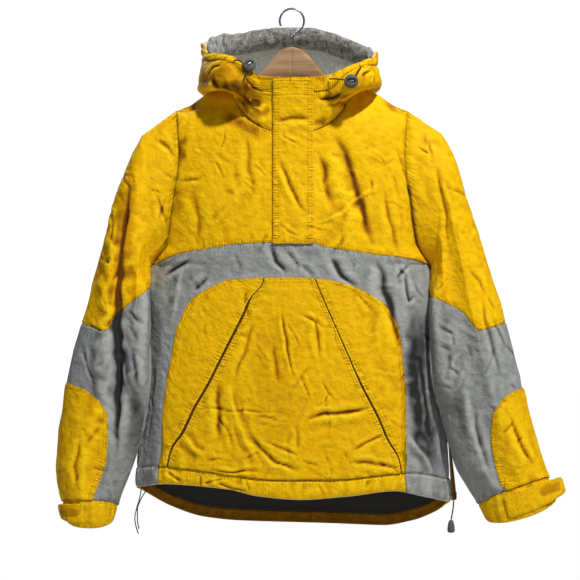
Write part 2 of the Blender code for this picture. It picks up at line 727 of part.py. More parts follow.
def hood_place(hoops, x, drop):
    """The place on the hood's front nearest to x and a drop: its point and inward direction."""
    best = None
    last_column = round(HOOD_COLUMNS * 70 / 360)
    for row in range(len(hoops) // 2, len(hoops) - 1):
        for column in range(1, last_column):
            turned = column if x > 0 else -column
            corners = [hoops[row + up][turned + along] for up in (0, 1) for along in (0, 1)]
            for up in spread(0, 1, 4):
                for along in spread(0, 1, 4):
                    shares = ((1 - up) * (1 - along), (1 - up) * along, up * (1 - along), up * along)
                    point = sum((cell[0] * share for cell, share in zip(corners, shares)), Vector())
                    way = sum((cell[1] * share for cell, share in zip(corners, shares)), Vector())
                    miss = (point.x / MM - x) ** 2 + (point.z / MM + drop) ** 2
                    if best is None or miss < best[0]:
                        best = (miss, point, way.normalized())
    return best[1], best[2]


def build_locks(hoops):
    """The two cord locks on the hood's channel, each with its loop of cord and its tail."""
    plastic = material("plastic", PLASTIC, 0.5)
    dark = material("dark_cord", DARK, 0.9)
    for word, row in (("right", RIGHT_LOCK), ("left", LEFT_LOCK)):
        point, inward = hood_place(hoops, row.x, row.drop)
        middle = point - inward * (LOCK_HALF_DEPTH + LOCK_GAP) * MM
        turned = Vector((0, 1, 0)).rotation_difference(inward).to_matrix().to_4x4()
        building = bmesh.new()
        bmesh.ops.create_uvsphere(building, u_segments=12, v_segments=6, radius=1.0)
        for vertex in building.verts:
            wide = Vector((vertex.co.x * LOCK_RADIUS, vertex.co.y * LOCK_HALF_DEPTH,
                           vertex.co.z * LOCK_RADIUS)) * MM
            vertex.co = turned @ wide + middle
        add_object(f"cord_lock_{word}", building, plastic)
        for kind, reach, sag in (("loop", row.loop_reach, 4.0), ("tail", row.tail_reach, 6.0)):
            way = Vector((reach[0], 0, reach[1])).normalized()
            far_point, far_inward = hood_place(hoops, row.x + reach[0], row.drop - reach[1])
            near_end = middle + way * (LOCK_RADIUS + 0.6) * MM
            far_end = far_point - far_inward * (CORD_RADIUS + 2.0) * MM
            points = []
            for share in spread(0, 1, 6):
                spot = near_end.lerp(far_end, share)
                spot -= inward * sag * 4 * share * (1 - share) * MM
                points.append(spot)
            tube(f"hood_cord_{kind}_{word}", points, CORD_RADIUS, dark)


# ---------------------------------------------------------------- the sleeves


def sleeve_ring(side, along, angle):
    """The sleeve's outside, in metres. angle 0 is its outer edge and 180 its underarm edge."""
    table = LEFT_SLEEVE if side > 0 else RIGHT_SLEEVE
    cuff = LEFT_CUFF if side > 0 else RIGHT_CUFF
    rings = list(table) + [cuff]
    turn = radians(angle)
    inner_share = (1 - cos(turn)) / 2
    columns = list(zip(*rings))
    stations = list(range(1, len(rings) + 1))
    ring = Ring(*[smooth(stations, column, max(along, 1.0)) for column in columns])
    x = ring.outer_x + (ring.inner_x - ring.outer_x) * inner_share
    drop = ring.outer_drop + (ring.inner_drop - ring.outer_drop) * inner_share
    y = ring.middle_y - ring.half_depth * sin(turn)
    rise = max(0.0, min(1.0, along / 4)) * max(0.0, min(1.0, (13 - along) / 2))
    if 0 < angle % 360 < 180:
        y += SLEEVE_VALLEY * rise * max(0.0, 1 - ((inner_share - 0.55) / 0.16) ** 2)
    last = len(table)
    if along > last - 1:
        bow = CUFF_BULGE * sin(turn) * (1 if 0 < angle % 360 < 180 else 0.6)
        towards = min(1.0, along - (last - 1)) if along <= last else 1 - 2 * (along - last)
        drop -= abs(bow) * towards
    if along < 1:
        face = -1 if 0 <= angle % 360 <= 180 else 1
        seam_drop = armhole_drop(inner_share)
        seam = torso_point(face, float(side), seam_drop)
        ring_one = Vector((x, y, drop))
        start = Vector((seam.x / MM, seam.y / MM, -seam.z / MM))
        spot = start.lerp(ring_one, along)
        return mm(*spot)
    return mm(*clear_of_torso(side, x, y, drop, min(1.0, along - 1)))


def clear_of_torso(side, x, y, drop, share):
    """Lay a sleeve point just clear of the torso: in front of its side, or beside it further back."""
    if drop < UNDERARM - 2:
        return x, y, drop
    section = read_table(TORSO, drop)
    clearance = SLEEVE_CLEARANCE_LOOSE * share + SLEEVE_CLEARANCE * (1 - share)
    half_width = section.half_width + clearance

    def is_inside(at_x, at_y):
        across = abs(at_x - section.centre) / half_width
        depth = section.front if at_y < 0 else section.back
        return across < 1 and abs(at_y) < depth * (1 - across ** 2) ** (section.roundness / 2) + clearance

    if not is_inside(x, y):
        return x, y, drop
    way_x = x - side * (section.half_width - SIDE_HUG_IN)
    way_y = y - SIDE_HUG_BACK
    length = sqrt(way_x ** 2 + way_y ** 2)
    near = 0.0
    far = 150.0
    for _ in range(14):
        middle = (near + far) / 2
        if is_inside(x + way_x / length * middle, y + way_y / length * middle):
            near = middle
        else:
            far = middle
    return x + way_x / length * far, y + way_y / length * far, drop


def sleeve_rows(side, starts, ends, rows):
    """Rings of cells between two seams, each given as a place along for every angle."""
    grid = []
    angles = [index * 360 / SLEEVE_COLUMNS for index in range(SLEEVE_COLUMNS)]
    for row in range(rows + 1):
        cells = []
        for angle in angles:
            along = starts(angle) + (ends(angle) - starts(angle)) * row / rows
            point = sleeve_ring(side, along, angle)
            before = sleeve_ring(side, max(along - 0.15, 0.0), angle)
            after = sleeve_ring(side, along + 0.15, angle)
            left = sleeve_ring(side, along, angle - 4)
            right = sleeve_ring(side, along, angle + 4)
            inward = (after - before).cross(right - left).normalized() * side
            if along < 0.7:
                face = -1 if angle <= 180 else 1
                share = (1 - cos(radians(angle))) / 2
                seam_drop = armhole_drop(share)
                seam_way = torso_inward(face, float(side), seam_drop)
                inward = seam_way.lerp(inward, along / 0.7).normalized()
            cells.append((point, inward))
        grid.append(cells)
    return grid


def upper_seam_along(angle):
    """Where the yellow upper sleeve ends at an angle round the sleeve."""
    share = (1 - cos(radians(angle))) / 2
    return smooth([row[0] for row in UPPER_SEAM], [row[1] for row in UPPER_SEAM], share)


def build_sleeve(side, word, patch_outline):
    """One sleeve: yellow upper, grey lower, forearm patch, cuff and cuff tab."""
    yellow = material("yellow_shell", YELLOW)
    grey = material("grey_shell", GREY)
    cuff_seam = float(len(LEFT_SLEEVE))
    upper = sleeve_rows(side, lambda angle: 0.0, upper_seam_along, 7)
    wall(f"sleeve_upper_{word}", trimmed(upper, sides=False), yellow, closed=True)
    lower = sleeve_rows(side, upper_seam_along, lambda angle: cuff_seam, 9)
    wall(f"sleeve_lower_{word}", trimmed(lower, sides=False), grey, closed=True)
    patch = wall(f"forearm_patch_{word}", lower, yellow, near=-(SEAM + POCKET_PLY), thickness=POCKET_PLY,
                 closed=True)
    cut_to_outline(patch, [(row.across, row.drop) for row in patch_outline])
    cuff = sleeve_rows(side, lambda angle: cuff_seam, lambda angle: cuff_seam + 1, 2)
    wall(f"cuff_{word}", trimmed(cuff, foot=False, sides=False), yellow, thickness=WALL + 0.5, closed=True)
    build_tab(side, word, cuff_seam)


def build_tab(side, word, cuff_seam):
    """The cuff's tab: a band over its front that stands off past the outer edge."""
    start, end, reach = LEFT_TAB if side > 0 else RIGHT_TAB
    grid = []
    for along in (cuff_seam + 0.14, cuff_seam + 0.5, cuff_seam + 0.86):
        cells = []
        for angle in spread(start, end, 6):
            point = sleeve_ring(side, along, angle)
            way = sleeve_ring(side, along + 0.1, angle) - sleeve_ring(side, along - 0.1, angle)
            inward = way.cross(sleeve_ring(side, along, angle + 4) - sleeve_ring(side, along, angle - 4))
            inward = inward.normalized() * side
            cells.append((point, inward))
        run = (cells[-1][0] - cells[-3][0]).normalized()
        cells.append((cells[-1][0] + run * reach * MM, cells[-1][1]))
        grid.append(cells)
    wall(f"cuff_tab_{word}", grid, material("yellow_shell", YELLOW), near=-(TAB_GAP + TAB_PLY),
         thickness=TAB_PLY)


# ---------------------------------------------------------------- the hanger


def build_hanger():
    """Two wooden arms that meet at the middle, and the wire hook that screws into them."""
    wood = material("wood", WOOD, 0.45)
    steel = material("steel", STEEL, 0.3, 1.0)
    for side, word in ((-1, "right"), (1, "left")):
        building = bmesh.new()
        loops = []
        for along in HANGER_STATIONS:
            arm = read_table(HANGER_ARM, along)
            middle = (arm.top + arm.foot) / 2
            half_height = (arm.foot - arm.top) / 2
            ring = []
            for across, high in ((-1, -1), (1, -1), (1, 1), (-1, 1)):
                flat = (across * (arm.half_thickness - HANGER_CORNER), high * half_height)
                edge = (across * arm.half_thickness, high * (half_height - HANGER_CORNER))
                ring += [edge, flat] if across * high > 0 else [flat, edge]
            loops.append([building.verts.new(mm(side * along, across, middle + high))
                          for across, high in ring])
        for first, second in zip(loops, loops[1:]):
            for index in range(len(first)):
                beside = (index + 1) % len(first)
                building.faces.new((first[index], first[beside], second[beside], second[index]))
        building.faces.new(loops[0])
        building.faces.new(loops[-1])
        add_object(f"hanger_arm_{word}", building, wood)
    points = [mm(0, 0, drop) for drop in (59.2, 56, 52, 48, 44)]
    centre_drop = HOOK_RADIUS - HOOK_WIRE
    for angle in spread(-42, 205, 20):
        x = HOOK_RADIUS * cos(radians(angle))
        drop = centre_drop - HOOK_RADIUS * sin(radians(angle))
        points.append(mm(x, 0, drop))
    tube("hanger_hook", points, HOOK_WIRE, steel, 2)


# ---------------------------------------------------------------- the side zip and the hem's cords


def build_side_zip():
    """The zip in the left side seam's foot, its slider, and the cord and bell that pull it."""
    brass = material("zip_tape", BRASS, 0.6)
    dark = material("dark_cord", DARK, 0.9)
    plastic = material("plastic", PLASTIC, 0.5)
    rows = []
    for drop in spread(SIDE_ZIP_TOP, SIDE_ZIP_FOOT, 6):
        section = read_table(TORSO, drop)
        x = section.centre + section.half_width + SIDE_ZIP_GAP + SIDE_ZIP_PLY
        rows.append([(mm(x - abs(y) * 0.12, y, drop), Vector((-1, 0, 0)))
                     for y in (-SIDE_ZIP_HALF_WIDTH, 0, SIDE_ZIP_HALF_WIDTH)])
    wall("side_zip", rows, brass, thickness=SIDE_ZIP_PLY)
    section = read_table(TORSO, SIDE_ZIP_FOOT)
    x = section.centre + section.half_width + SIDE_ZIP_GAP + SIDE_ZIP_PLY + SEAM
    building = bmesh.new()
    bmesh.ops.create_cube(building, size=1.0)
    for vertex in building.verts:
        narrow = 0.7 if vertex.co.z < 0 else 1.0
        vertex.co = (mm(x + 1.5, 0, SIDE_ZIP_FOOT - 7)
                     + Vector((vertex.co.x * 3.0, vertex.co.y * 8.0 * narrow, vertex.co.z * 12.0)) * MM)
    bmesh.ops.bevel(building, geom=building.edges[:], offset=0.6 * MM, segments=1, affect="EDGES")
    add_object("side_zip_slider", building, plastic)
    tube("zip_pull_cord", curve_through(PULL_CORD), CORD_RADIUS, dark)
    top = PULL_CORD[-1]
    building = bmesh.new()
    loops = []
    for down, radius in BELL_PROFILE:
        loops.append([building.verts.new(mm(top[0] + radius * cos(turn), top[1] + radius * sin(turn),
                                            top[2] + 0.6 + down))
                      for turn in [2 * pi * step / 12 for step in range(12)]])
    for first, second in zip(loops, loops[1:]):
        for index in range(12):
            beside = (index + 1) % 12
            building.faces.new((first[index], first[beside], second[beside], second[index]))
    building.faces.new(loops[0])
    building.faces.new(loops[-1])
    add_object("zip_pull_bell", building, plastic)


def curve_through(route, steps=3):
    """Points along a smooth curve through a route's own points."""
    stations = list(range(len(route)))
    columns = list(zip(*route))
    return [mm(*[smooth(stations, column, share) for column in columns])
            for share in spread(0, len(route) - 1, steps * (len(route) - 1))]


def build_hem_cords():
    """The two free strands of drawcord at the right of the hem."""
    dark = material("dark_cord", DARK, 0.9)
    for name, route in (("hem_cord_long", HEM_CORD_LONG), ("hem_cord_short", HEM_CORD_SHORT)):
        tube(name, curve_through(route), HEM_CORD_RADIUS, dark)


def clear_scene():
    """Start from an empty scene."""
    for thing in list(bpy.data.objects):
        bpy.data.objects.remove(thing, do_unlink=True)


def main():
    clear_scene()
    front_lower = build_torso()
    build_pocket(front_lower)
    hoops = build_hood()
    build_flap()
    build_locks(hoops)
    build_sleeve(-1, "right", RIGHT_PATCH)
    build_sleeve(1, "left", LEFT_PATCH)
    build_side_zip()
    build_hem_cords()
    build_hanger()


main()
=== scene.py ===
"""Anorak pullover on a wooden hanger: how its cloth, sewing and fittings look.

Every piece of cloth is a thin closed shell over the same form as its solid, with its folds laid in one by
one.
Places are in millimetres, as x, y and a drop below the hanger's hook, and become metres when a mesh is made.
"""

from math import asin, cos, pi, radians, sin

import bpy
import numpy as np
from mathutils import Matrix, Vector


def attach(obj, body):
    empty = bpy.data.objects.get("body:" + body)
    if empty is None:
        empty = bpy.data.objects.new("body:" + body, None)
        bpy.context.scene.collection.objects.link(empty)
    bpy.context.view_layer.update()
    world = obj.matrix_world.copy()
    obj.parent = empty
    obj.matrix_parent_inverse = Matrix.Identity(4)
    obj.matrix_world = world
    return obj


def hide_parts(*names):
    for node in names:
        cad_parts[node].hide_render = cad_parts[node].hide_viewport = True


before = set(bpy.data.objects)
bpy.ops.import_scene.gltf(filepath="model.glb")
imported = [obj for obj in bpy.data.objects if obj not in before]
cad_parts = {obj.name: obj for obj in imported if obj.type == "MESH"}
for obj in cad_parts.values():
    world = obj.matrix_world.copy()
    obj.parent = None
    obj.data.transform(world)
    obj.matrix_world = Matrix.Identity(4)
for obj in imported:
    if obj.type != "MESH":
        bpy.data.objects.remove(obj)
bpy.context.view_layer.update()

bl_info = {
    "name": "Anorak pullover on a hanger",
    "version": (1, 0, 0),
    "blender": (4, 5, 0),
    "location": "3D View > Sidebar > Anorak",
    "description": "Makes the cloth, the sewing and the fittings of a half-zip anorak on a wooden hanger",
    "category": "Object",
}

MM = 0.001
# The solids' walls and the gaps between their layers
WALL = 3.0
SEAM = 0.3
LINING_GAP = 0.7
FLEECE_PLY = 2.5
POCKET_PLY = 2.2
POCKET_PROUD = 0.8
FLAP_PLY = 2.6
FLAP_GAP = 1.3
TAB_GAP = 3.0
ROLL_GAP = 2.0
# How thick the cloth is made: the shell, what is sewn on it, padded hems, the roll, linings and tapes
SHELL = 2.2
SEWN_ON = 1.9
PADDED = 2.6
ROLL = 2.0
LINING = 1.5
FRONT_TAPE = 1.4
SIDE_TAPE = 1.2

# The torso at each drop: centre, half width, front depth, back depth and roundness of its section
TORSO = (
    (60, 0, 187, 54, 50, 1.2),
    (118, 0, 187, 60, 54, 1.2),
    (164, 0, 187, 64, 57, 1.2),
    (239, 0, 182, 69, 60, 1.5),
    (320, 0, 192, 74, 63, 1.6),
    (380, 0, 202, 77, 63, 1.4),
    (414, -1, 222, 78, 62, 1.1),
    (470, -1, 233, 79, 61, 0.95),
    (560, 0, 243, 79, 60, 0.9),
    (680, 1, 250, 76, 57, 0.9),
    (780, 2, 255, 72, 53, 0.9),
    (850, 3, 257, 69, 49, 0.9),
)
NECK_HALF_WIDTH = 92.0
NECK_SIDE_DROP = 119.0
NECK_FRONT_DROP = 208.0
NECK_BACK_DROP = 113.0
# Half a yoke's columns: those along the neck, all of them, and where the last ones stand on the shoulder
NECK_COLUMNS = 8
YOKE_COLUMNS = 12
SHOULDER_PLACES = (NECK_HALF_WIDTH, 115, 140, 165)
RIDGE_REACH = 105.0
RIDGE_POWER = 0.68
ARMHOLE_TOP = 163.0
UNDERARM = 414.0
ARMHOLE_HALF_DEPTH = 40.0

# Seams and hems across the garment: places as x and drop, from the wearer's right to the left
SHOULDER_LINE = ((0, 78), (88, 117), (146, 139), (187, 163), (226, 189))
YOKE_SEAM = ((-222, 414), (-187, 396), (-137, 388), (-103, 383), (-30, 380), (28, 379), (61, 388),
             (100, 393), (136, 398.5), (179, 403), (222, 414))
CASING_SEAM = ((-256, 742), (-215, 737), (-135, 743), (-27, 755), (73, 755), (151, 748), (190, 747),
               (258, 760))
FRONT_HEM = ((-256, 774), (-198, 765), (-100, 771), (-57, 781), (16, 787), (92, 782), (162, 775),
             (209, 785), (258, 798))
BACK_BAND_TOP = ((-222, 414), (-150, 396), (0, 390), (150, 396), (222, 414))
BACK_BAND_FOOT = ((-236, 482), (-150, 470), (0, 466), (150, 470), (236, 482))
BACK_HEM = ((-256, 775), (-196, 811), (-144, 829), (-84, 836), (76, 841), (148, 843), (196, 834),
            (235, 817), (258, 799))
LINING_TOP = 560.0
FACING_HEIGHT = 19.0
CASING_HEIGHT = 30.0
ZIP_SUNK = 0.6
ZIP_HALF_WIDTH = 6.0
ZIP_FOOT = 378.2
FLAP_SIDE = -30.0
FLAP_TOP = 122.0
FLAP_WIDTH = 64.0
FLAP_HEIGHT = 260.0
FLAP_CREASES = (126, 131, 136.5, 141.5, 147)
ARCH_RIGHT = ((-62, 436.2), (-105, 440), (-128, 450.5), (-149, 462), (-164, 475.5), (-175, 497),
              (-184, 519.5), (-194, 571), (-202, 619), (-206.5, 661), (-208, 710), (-222, 765))
ARCH_TOP = ((-62, 436.2), (-30, 435.5), (-5, 435), (30, 436), (54, 438.6))
ARCH_LEFT = ((54, 438.6), (66, 441.5), (94, 448.5), (133, 468), (152, 481), (166, 506), (173, 528.5),
             (177, 574), (181.5, 620), (182, 765))
MOUTH_RIGHT = ((-44, 436), (-46, 444), (-65, 468), (-75.6, 492), (-105, 550), (-133.8, 607), (-153.5, 640.6),
               (-174, 682), (-191.4, 708), (-200, 745), (-203, 765))
MOUTH_LEFT = ((36.5, 437.5), (37.5, 440), (49, 468), (66.4, 507), (89.2, 559), (108.8, 603), (137.2, 658),
              (151.9, 692), (170, 724), (174, 745), (175.5, 765))
# The pocket's edge turned under at its mouth: how far in, and how far below the side piece
TURNED_UNDER = (0.7, 1.8, 3.4, 6.0, 9.0)
TURNED_DOWN = (0.9, 1.5, 1.6, 1.6, 1.6)
TURNED_PLY = 0.7
# Rows of stitching across the pocket's side pieces
SIDE_ROWS = (((101, 471), (123, 526), (147, 574), (166, 613)), ((-164, 495), (-145, 478), (-127, 455)))
# How wide each mouth stands open, half of it to each side: places as drop and half width
RIGHT_GAPE = ((436, 0.9), (462, 1.1), (480, 2.4), (690, 2.3), (720, 1.4), (770, 1.1))
LEFT_GAPE = ((436, 0.9), (560, 1.0), (620, 1.8), (700, 1.6), (730, 1.0), (770, 1.0))

# The hood's hoops from the neck seam to the face edge: half width, then its depth in front, at its pouches,
# at its sides and behind, then its drop in front, at the right and left pouch, at its sides and behind
HOOD = (
    (92, -66, -60, 0, 37, 208, 192, 192, 119, 113),
    (106, -67, -67, 3, 60, 186, 167, 167, 118, 108),
    (131, -69, -84, 4, 94, 166, 149, 150, 125, 146),
    (151, -72, -96, 4, 130, 150, 136, 139, 131, 186),
    (153, -73, -95, 6, 152, 141, 109, 120, 108, 150),
    (143, -75, -80, 10, 141, 130, 95, 109, 86, 78),
    (147, -77, -57, 14, 99, 119, 82, 98, 60, 14),
)
# The angles from its front that those columns stand at
HOOD_STATIONS = (0.0, 16.0, 40.0, 90.0, 180.0)
HOOD_COLUMNS = 32
HOOD_ROWS = 11
# How many times finer the hood's cloth is than its hoops, and the columns that its roll runs between
FINE_ROWS = 9
FINE_COLUMNS = 8
ROLL_START = 56
ROLL_END = 202
ROLL_HIGH = 19.0
ROLL_DEEP = 9.5
CHANNEL = 24.0
RIM_ROW = 3.0
NECK_JOIN = 1.5
NECK_LIFT = 0.5
NECK_SIDE_LIFT = 3.0
YOKE_CLEARANCE = 7.0

# The sleeves' rings: outer x and drop, inner x and drop, half depth and middle in depth
RIGHT_SLEEVE = (
    (-243, 203, -230, 422, 43, -3),
    (-262, 240, -232, 433, 45, -6),
    (-280, 290, -230, 448, 47, -9),
    (-297, 355, -226, 472, 48, -13),
    (-314, 415, -223, 508, 48, -17),
    (-329, 471, -221, 546, 48, -20),
    (-345, 528, -220, 585, 47, -22),
    (-360, 590, -222, 626, 46, -23),
    (-371, 640, -231, 668, 45, -24),
    (-378, 690, -243, 711, 43, -25),
    (-380, 735, -258, 752, 41, -26),
    (-378, 772, -270, 782, 38, -26),
    (-374, 797, -277, 803, 36, -26),
    (-369, 820, -283, 824, 31, -28),
)
LEFT_SLEEVE = (
    (243, 203, 228, 424, 43, -3),
    (264, 240, 228, 437, 45, -6),
    (281, 298, 223, 457, 47, -9),
    (298, 352, 218, 484, 48, -13),
    (316, 411, 215, 516, 48, -17),
    (334, 468, 214, 549, 48, -20),
    (350, 528, 215, 582, 47, -22),
    (365, 585, 221, 616, 46, -23),
    (378, 635, 234, 652, 45, -24),
    (391, 685, 247, 697, 43, -25),
    (403, 722, 261, 741, 41, -26),
    (410, 742, 280, 774, 38, -26),
    (416, 757, 297, 802, 36, -26),
    (427, 788, 309, 824, 31, -28),
)
# The ring where the cuff is sewn on, and each cuff tab: the angles it runs between and its reach beyond
CUFF_SEAM = 13.0
TABS = {"right": (78, 12, 3), "left": (112, 30, 27)}
TAB_HALF = 0.36
TAB_ROUND = 9.0
# The strap sewn on the tab: its middle from the tab's end and its top, half its length and height, corners
STRAP_PLACE = (30.0, 13.0)
STRAP_REACH = (15.0, 1.5)
STRAP_ROUND = 6.0
CUFF_BULGE = 12.0
SLEEVE_VALLEY = 9.0
SLEEVE_CLEARANCE = 1.0
SLEEVE_CLEARANCE_LOOSE = 4.0
SIDE_HUG_IN = 60.0
SIDE_HUG_BACK = 30.0
UPPER_SEAM = ((0.0, 6.65), (0.35, 6.45), (0.5, 5.6), (0.8, 4.35), (1.0, 3.3))
RIGHT_PATCH_TOP = ((-380, 603), (-361, 604), (-329, 613), (-312, 624))
RIGHT_PATCH_SIDE = ((-312, 624), (-298, 642), (-292, 657), (-291, 684), (-294, 724), (-304, 756),
                    (-314, 782))
LEFT_PATCH_TOP = ((385, 610), (377, 611), (349, 618), (333, 628))
LEFT_PATCH_SIDE = ((333, 628), (322, 645), (318, 652), (316, 690), (323, 735), (333, 770))

# The side zip, and the cords' routes as x, y and drop
SIDE_ZIP_TOP = 640.0
SIDE_ZIP_FOOT = 796.0
SIDE_ZIP_HALF_WIDTH = 7.0
PULL_CORD = ((262.5, -1, 797), (262.2, -1, 806), (260.5, -1, 817), (258.5, -1, 828))
# The bell's radius at each place down from its top
BELL_PROFILE = ((0, 2.4), (1.2, 3.4), (3, 4.2), (6, 5.0), (9, 5.6), (12, 5.9), (15, 6.1), (17.2, 6.0),
                (18.5, 5.6), (19.5, 4.8), (20, 4.0))
HEM_CORD_LONG = ((-242, -27, 774), (-244.5, -27, 789), (-249.5, -27, 806), (-252.5, -26, 822),
                 (-250.5, -25, 836), (-247, -25, 847))
HEM_CORD_SHORT = ((-228, -31, 770), (-236, -31, 780), (-243, -30.5, 792), (-248, -30, 808),
                  (-248, -29.5, 824), (-245.5, -29, 839))
HEM_CORD_RADIUS = 0.9
CORD_RADIUS = 1.1
# The hood's cord locks: place, then how far its loop and its tail of cord reach, and how each leans
LOCK_RADIUS = 11.0
LOCK_HALF_DEPTH = 7.0
LOCK_GAP = 2.0
LOCK_SLOT = (6.6, 3.7, 5.0)
BAR_REACH = 4.4
BAR_DEPTH = 1.7
LOCKS = {"right": (-68, 105, (-26, 10), (-6, -22), 38), "left": (90, 129, (-28, 5), (16, 22), 2)}
# The slider on the side zip: height, half width and half depth of each of its rings
SLIDER = ((6.0, 3.0, 0.8), (5.4, 3.9, 1.3), (3.0, 4.0, 1.5), (0, 3.6, 1.5), (-3, 3.0, 1.5), (-5.4, 2.7, 1.3),
          (-6.0, 2.0, 0.8))
SIDE_TEETH = (2.6, (1.2, 4.6, 1.2))
# The hanger's arm along its length: top, foot and half its thickness
HANGER_ARM = (
    (0, 60, 112, 6.0),
    (12, 63, 113, 6.5),
    (30, 77, 122, 7.0),
    (50, 101, 139, 7.0),
    (90, 128, 163, 7.0),
    (146, 153, 187, 6.5),
    (190, 182, 209, 6.0),
    (212, 199, 218, 5.5),
)
HOOK_RADIUS = 19.7
HOOK_WIRE = 1.7
HOOK_STEM = (59.2, 56, 52, 48, 44)

# Folds on the front: width, depth (below 0 for a ridge), lean, then the places they run through
FRONT_FOLDS = (
    # left yoke
    (17, 4.4, 0.5, (65, 202), (84, 234), (100, 289), (115, 336), (131, 392)),
    (11, 2.4, 0.2, (44, 234), (57, 297), (65, 329)),
    (4, -1.3, 0, (142, 283), (84, 329), (25, 357)),
    (3, 1.4, 0, (25, 357), (52, 363)),
    (2.6, 1.8, 0, (195, 347), (209, 355)),
    (3, 2.4, 0, (223, 219), (225, 257)),
    (7, 3.0, -0.4, (168, 226), (179, 257), (190, 297), (210, 329)),
    (3, 2.6, 0, (198, 227), (218, 233), (225, 218)),
    (3, 1.2, 0, (144, 256), (171, 245)),
    (8, 2.2, 0.3, (150, 300), (156, 345), (170, 398)),
    # right yoke
    (5, 3.2, 0.3, (-217, 211), (-198, 226), (-180, 245)),
    (4, 2.6, -0.2, (-187, 216), (-177, 241)),
    (3, 2.2, 0, (-225, 292), (-209, 297)),
    (3, 1.5, 0, (-106, 202), (-114, 234)),
    (3, 1.6, 0, (-123, 249), (-106, 278)),
    (3, -1.5, 0, (-60, 249), (-33, 278)),
    (3, -1.6, 0, (-157, 230), (-139, 238)),
    (5, 2.8, 0.2, (-206, 266), (-175, 282), (-141, 276)),
    (4, 2.2, 0, (-217, 300), (-203, 340), (-199, 390)),
    (3, 1.8, 0, (-203, 305), (-212, 352)),
    (8, 1.7, 0.2, (-74, 202), (-66, 260), (-59, 313)),
    (9, 2.0, -0.3, (-160, 290), (-148, 340), (-150, 385)),
    # flap
    (9, 3.0, 0.2, (-27, 187), (2, 184), (30, 183)),
    (3, 1.6, 0, (-21, 211), (13, 226)),
    (6, 3.0, 0.3, (-20, 245), (11, 316), (24, 336)),
    (3, 1.6, 0, (-22, 352), (13, 373)),
    # band
    (6, 4.0, 0.3, (-30, 384), (-24, 408), (-8, 431)),
    (4, 2.6, 0, (-11, 392), (13, 420)),
    (4, 2.2, 0, (13, 411), (38, 436)),
    (7, 4.4, 0.4, (60, 404), (80, 430), (103, 452)),
    (12, 4.8, 0.5, (130, 400), (142, 423), (156, 480), (168, 520), (177, 559)),
    (4, 3.0, 0, (163, 439), (187, 415)),
    (3, 2.0, 0, (165, 420), (186, 437)),
    (5, 3.2, 0, (179, 431), (187, 471), (199, 463)),
    (6, 3.2, 0.2, (-207, 433), (-185, 418), (-160, 408)),
    (5, 2.6, 0, (-158, 455), (-134, 434)),
    (9, -2.6, 0, (-174, 415), (-184, 470), (-193, 518)),
    (4, 1.8, 0, (-95, 395), (-80, 425)),
    # pocket
    (3.2, 2.4, 0.6, (-19, 488), (-6, 540), (5, 597)),
    (7, 1.8, 0, (-26, 540), (-22, 604)),
    (10, 3.6, 0.3, (-114, 597), (-118, 630), (-112, 692)),
    (6, -2.6, 0, (-106, 597), (-82, 676), (-47, 740)),
    (2.6, 1.4, 0.2, (-153, 640), (-80, 645), (-9, 646)),
    (2.6, 1.0, 0, (-58, 654), (-14, 654)),
    (2.6, 1.0, 0, (-58, 667), (-14, 667)),
    (4, 3.2, 0.4, (-66, 683), (-47, 708), (-27, 724), (13, 740)),
    (3, 2.2, 0.2, (-41, 695), (-16, 705), (13, 719)),
    (7, -3.0, 0, (-176, 684), (-161, 702), (-142, 721)),
    (3, 2.2, 0, (-123, 651), (-101, 673), (-90, 708)),
    (3, 2.0, 0, (-134, 726), (-95, 722)),
    (4, 2.6, 0, (-133, 738), (-90, 742), (-47, 740)),
    (5, 3.6, 0.4, (21, 657), (84, 646), (123, 640)),
    (4, 2.6, 0, (95, 707), (147, 683)),
    (5, 2.6, 0, (87, 724), (131, 730), (174, 738)),
    (3, 2.0, 0, (13, 722), (44, 732)),
    (5, 2.8, 0.3, (13, 491), (40, 506), (41, 566)),
    (3, 1.6, 0, (13, 589), (28, 629)),
    (3, 1.8, 0, (44, 594), (65, 626)),
    (7, 1.8, 0.3, (-60, 500), (-78, 560), (-92, 600)),
    # side panels and hem casing
    (6, -2.6, 0, (184, 684), (229, 756)),
    (5, 2.0, 0, (205, 560), (214, 640), (226, 700)),
    (6, 2.2, 0.2, (-222, 560), (-228, 650), (-240, 720)),
    (4, 2.6, 0, (-198, 740), (-177, 760)),
    (3, 2.2, 0, (-146, 748), (-146, 768)),
    (3, 2.0, 0, (-142, 763), (-109, 752)),
    (4, 2.6, 0, (-119, 759), (-70, 775)),
    (3, 2.0, 0, (-76, 752), (-65, 776)),
    (3, 1.8, 0, (40, 760), (52, 780)),
    (3, 1.8, 0, (120, 756), (112, 774)),
    # right sleeve
    (13, 8.0, 0.8, (-262, 250), (-263, 320), (-267, 380), (-274, 455), (-276, 520), (-273, 600),
     (-278, 660), (-277, 740)),
    (3, -2.0, 0, (-277, 550), (-266, 590), (-251, 625)),
    (4, 3.0, 0.3, (-258, 542), (-244, 600), (-223, 645)),
    (3, 2.2, 0, (-324, 507), (-299, 521)),
    (4, 2.6, 0, (-337, 542), (-323, 574), (-308, 610)),
    (4, 2.4, 0, (-264, 483), (-236, 510)),
    (5, 2.4, 0, (-258, 545), (-232, 572)),
    (5, 2.4, 0.2, (-330, 690), (-345, 735), (-338, 775)),
    (4, 1.8, 0, (-300, 300), (-284, 345), (-290, 392)),
    # left sleeve
    (4, 2.6, 0, (229, 514), (258, 526)),
    (4, 2.6, 0, (215, 523), (234, 542), (255, 550)),
    (3, 2.0, 0, (248, 577), (266, 588)),
    (4, 2.6, 0, (223, 597), (258, 613)),
    (6, 2.2, -0.3, (232, 250), (244, 330), (252, 400)),
    (5, 2.0, 0, (300, 470), (318, 540), (330, 590)),
    (6, 2.6, 0, (345, 650), (362, 700), (385, 735)),
    (4, 2.0, 0, (290, 640), (300, 700), (315, 745)),
)
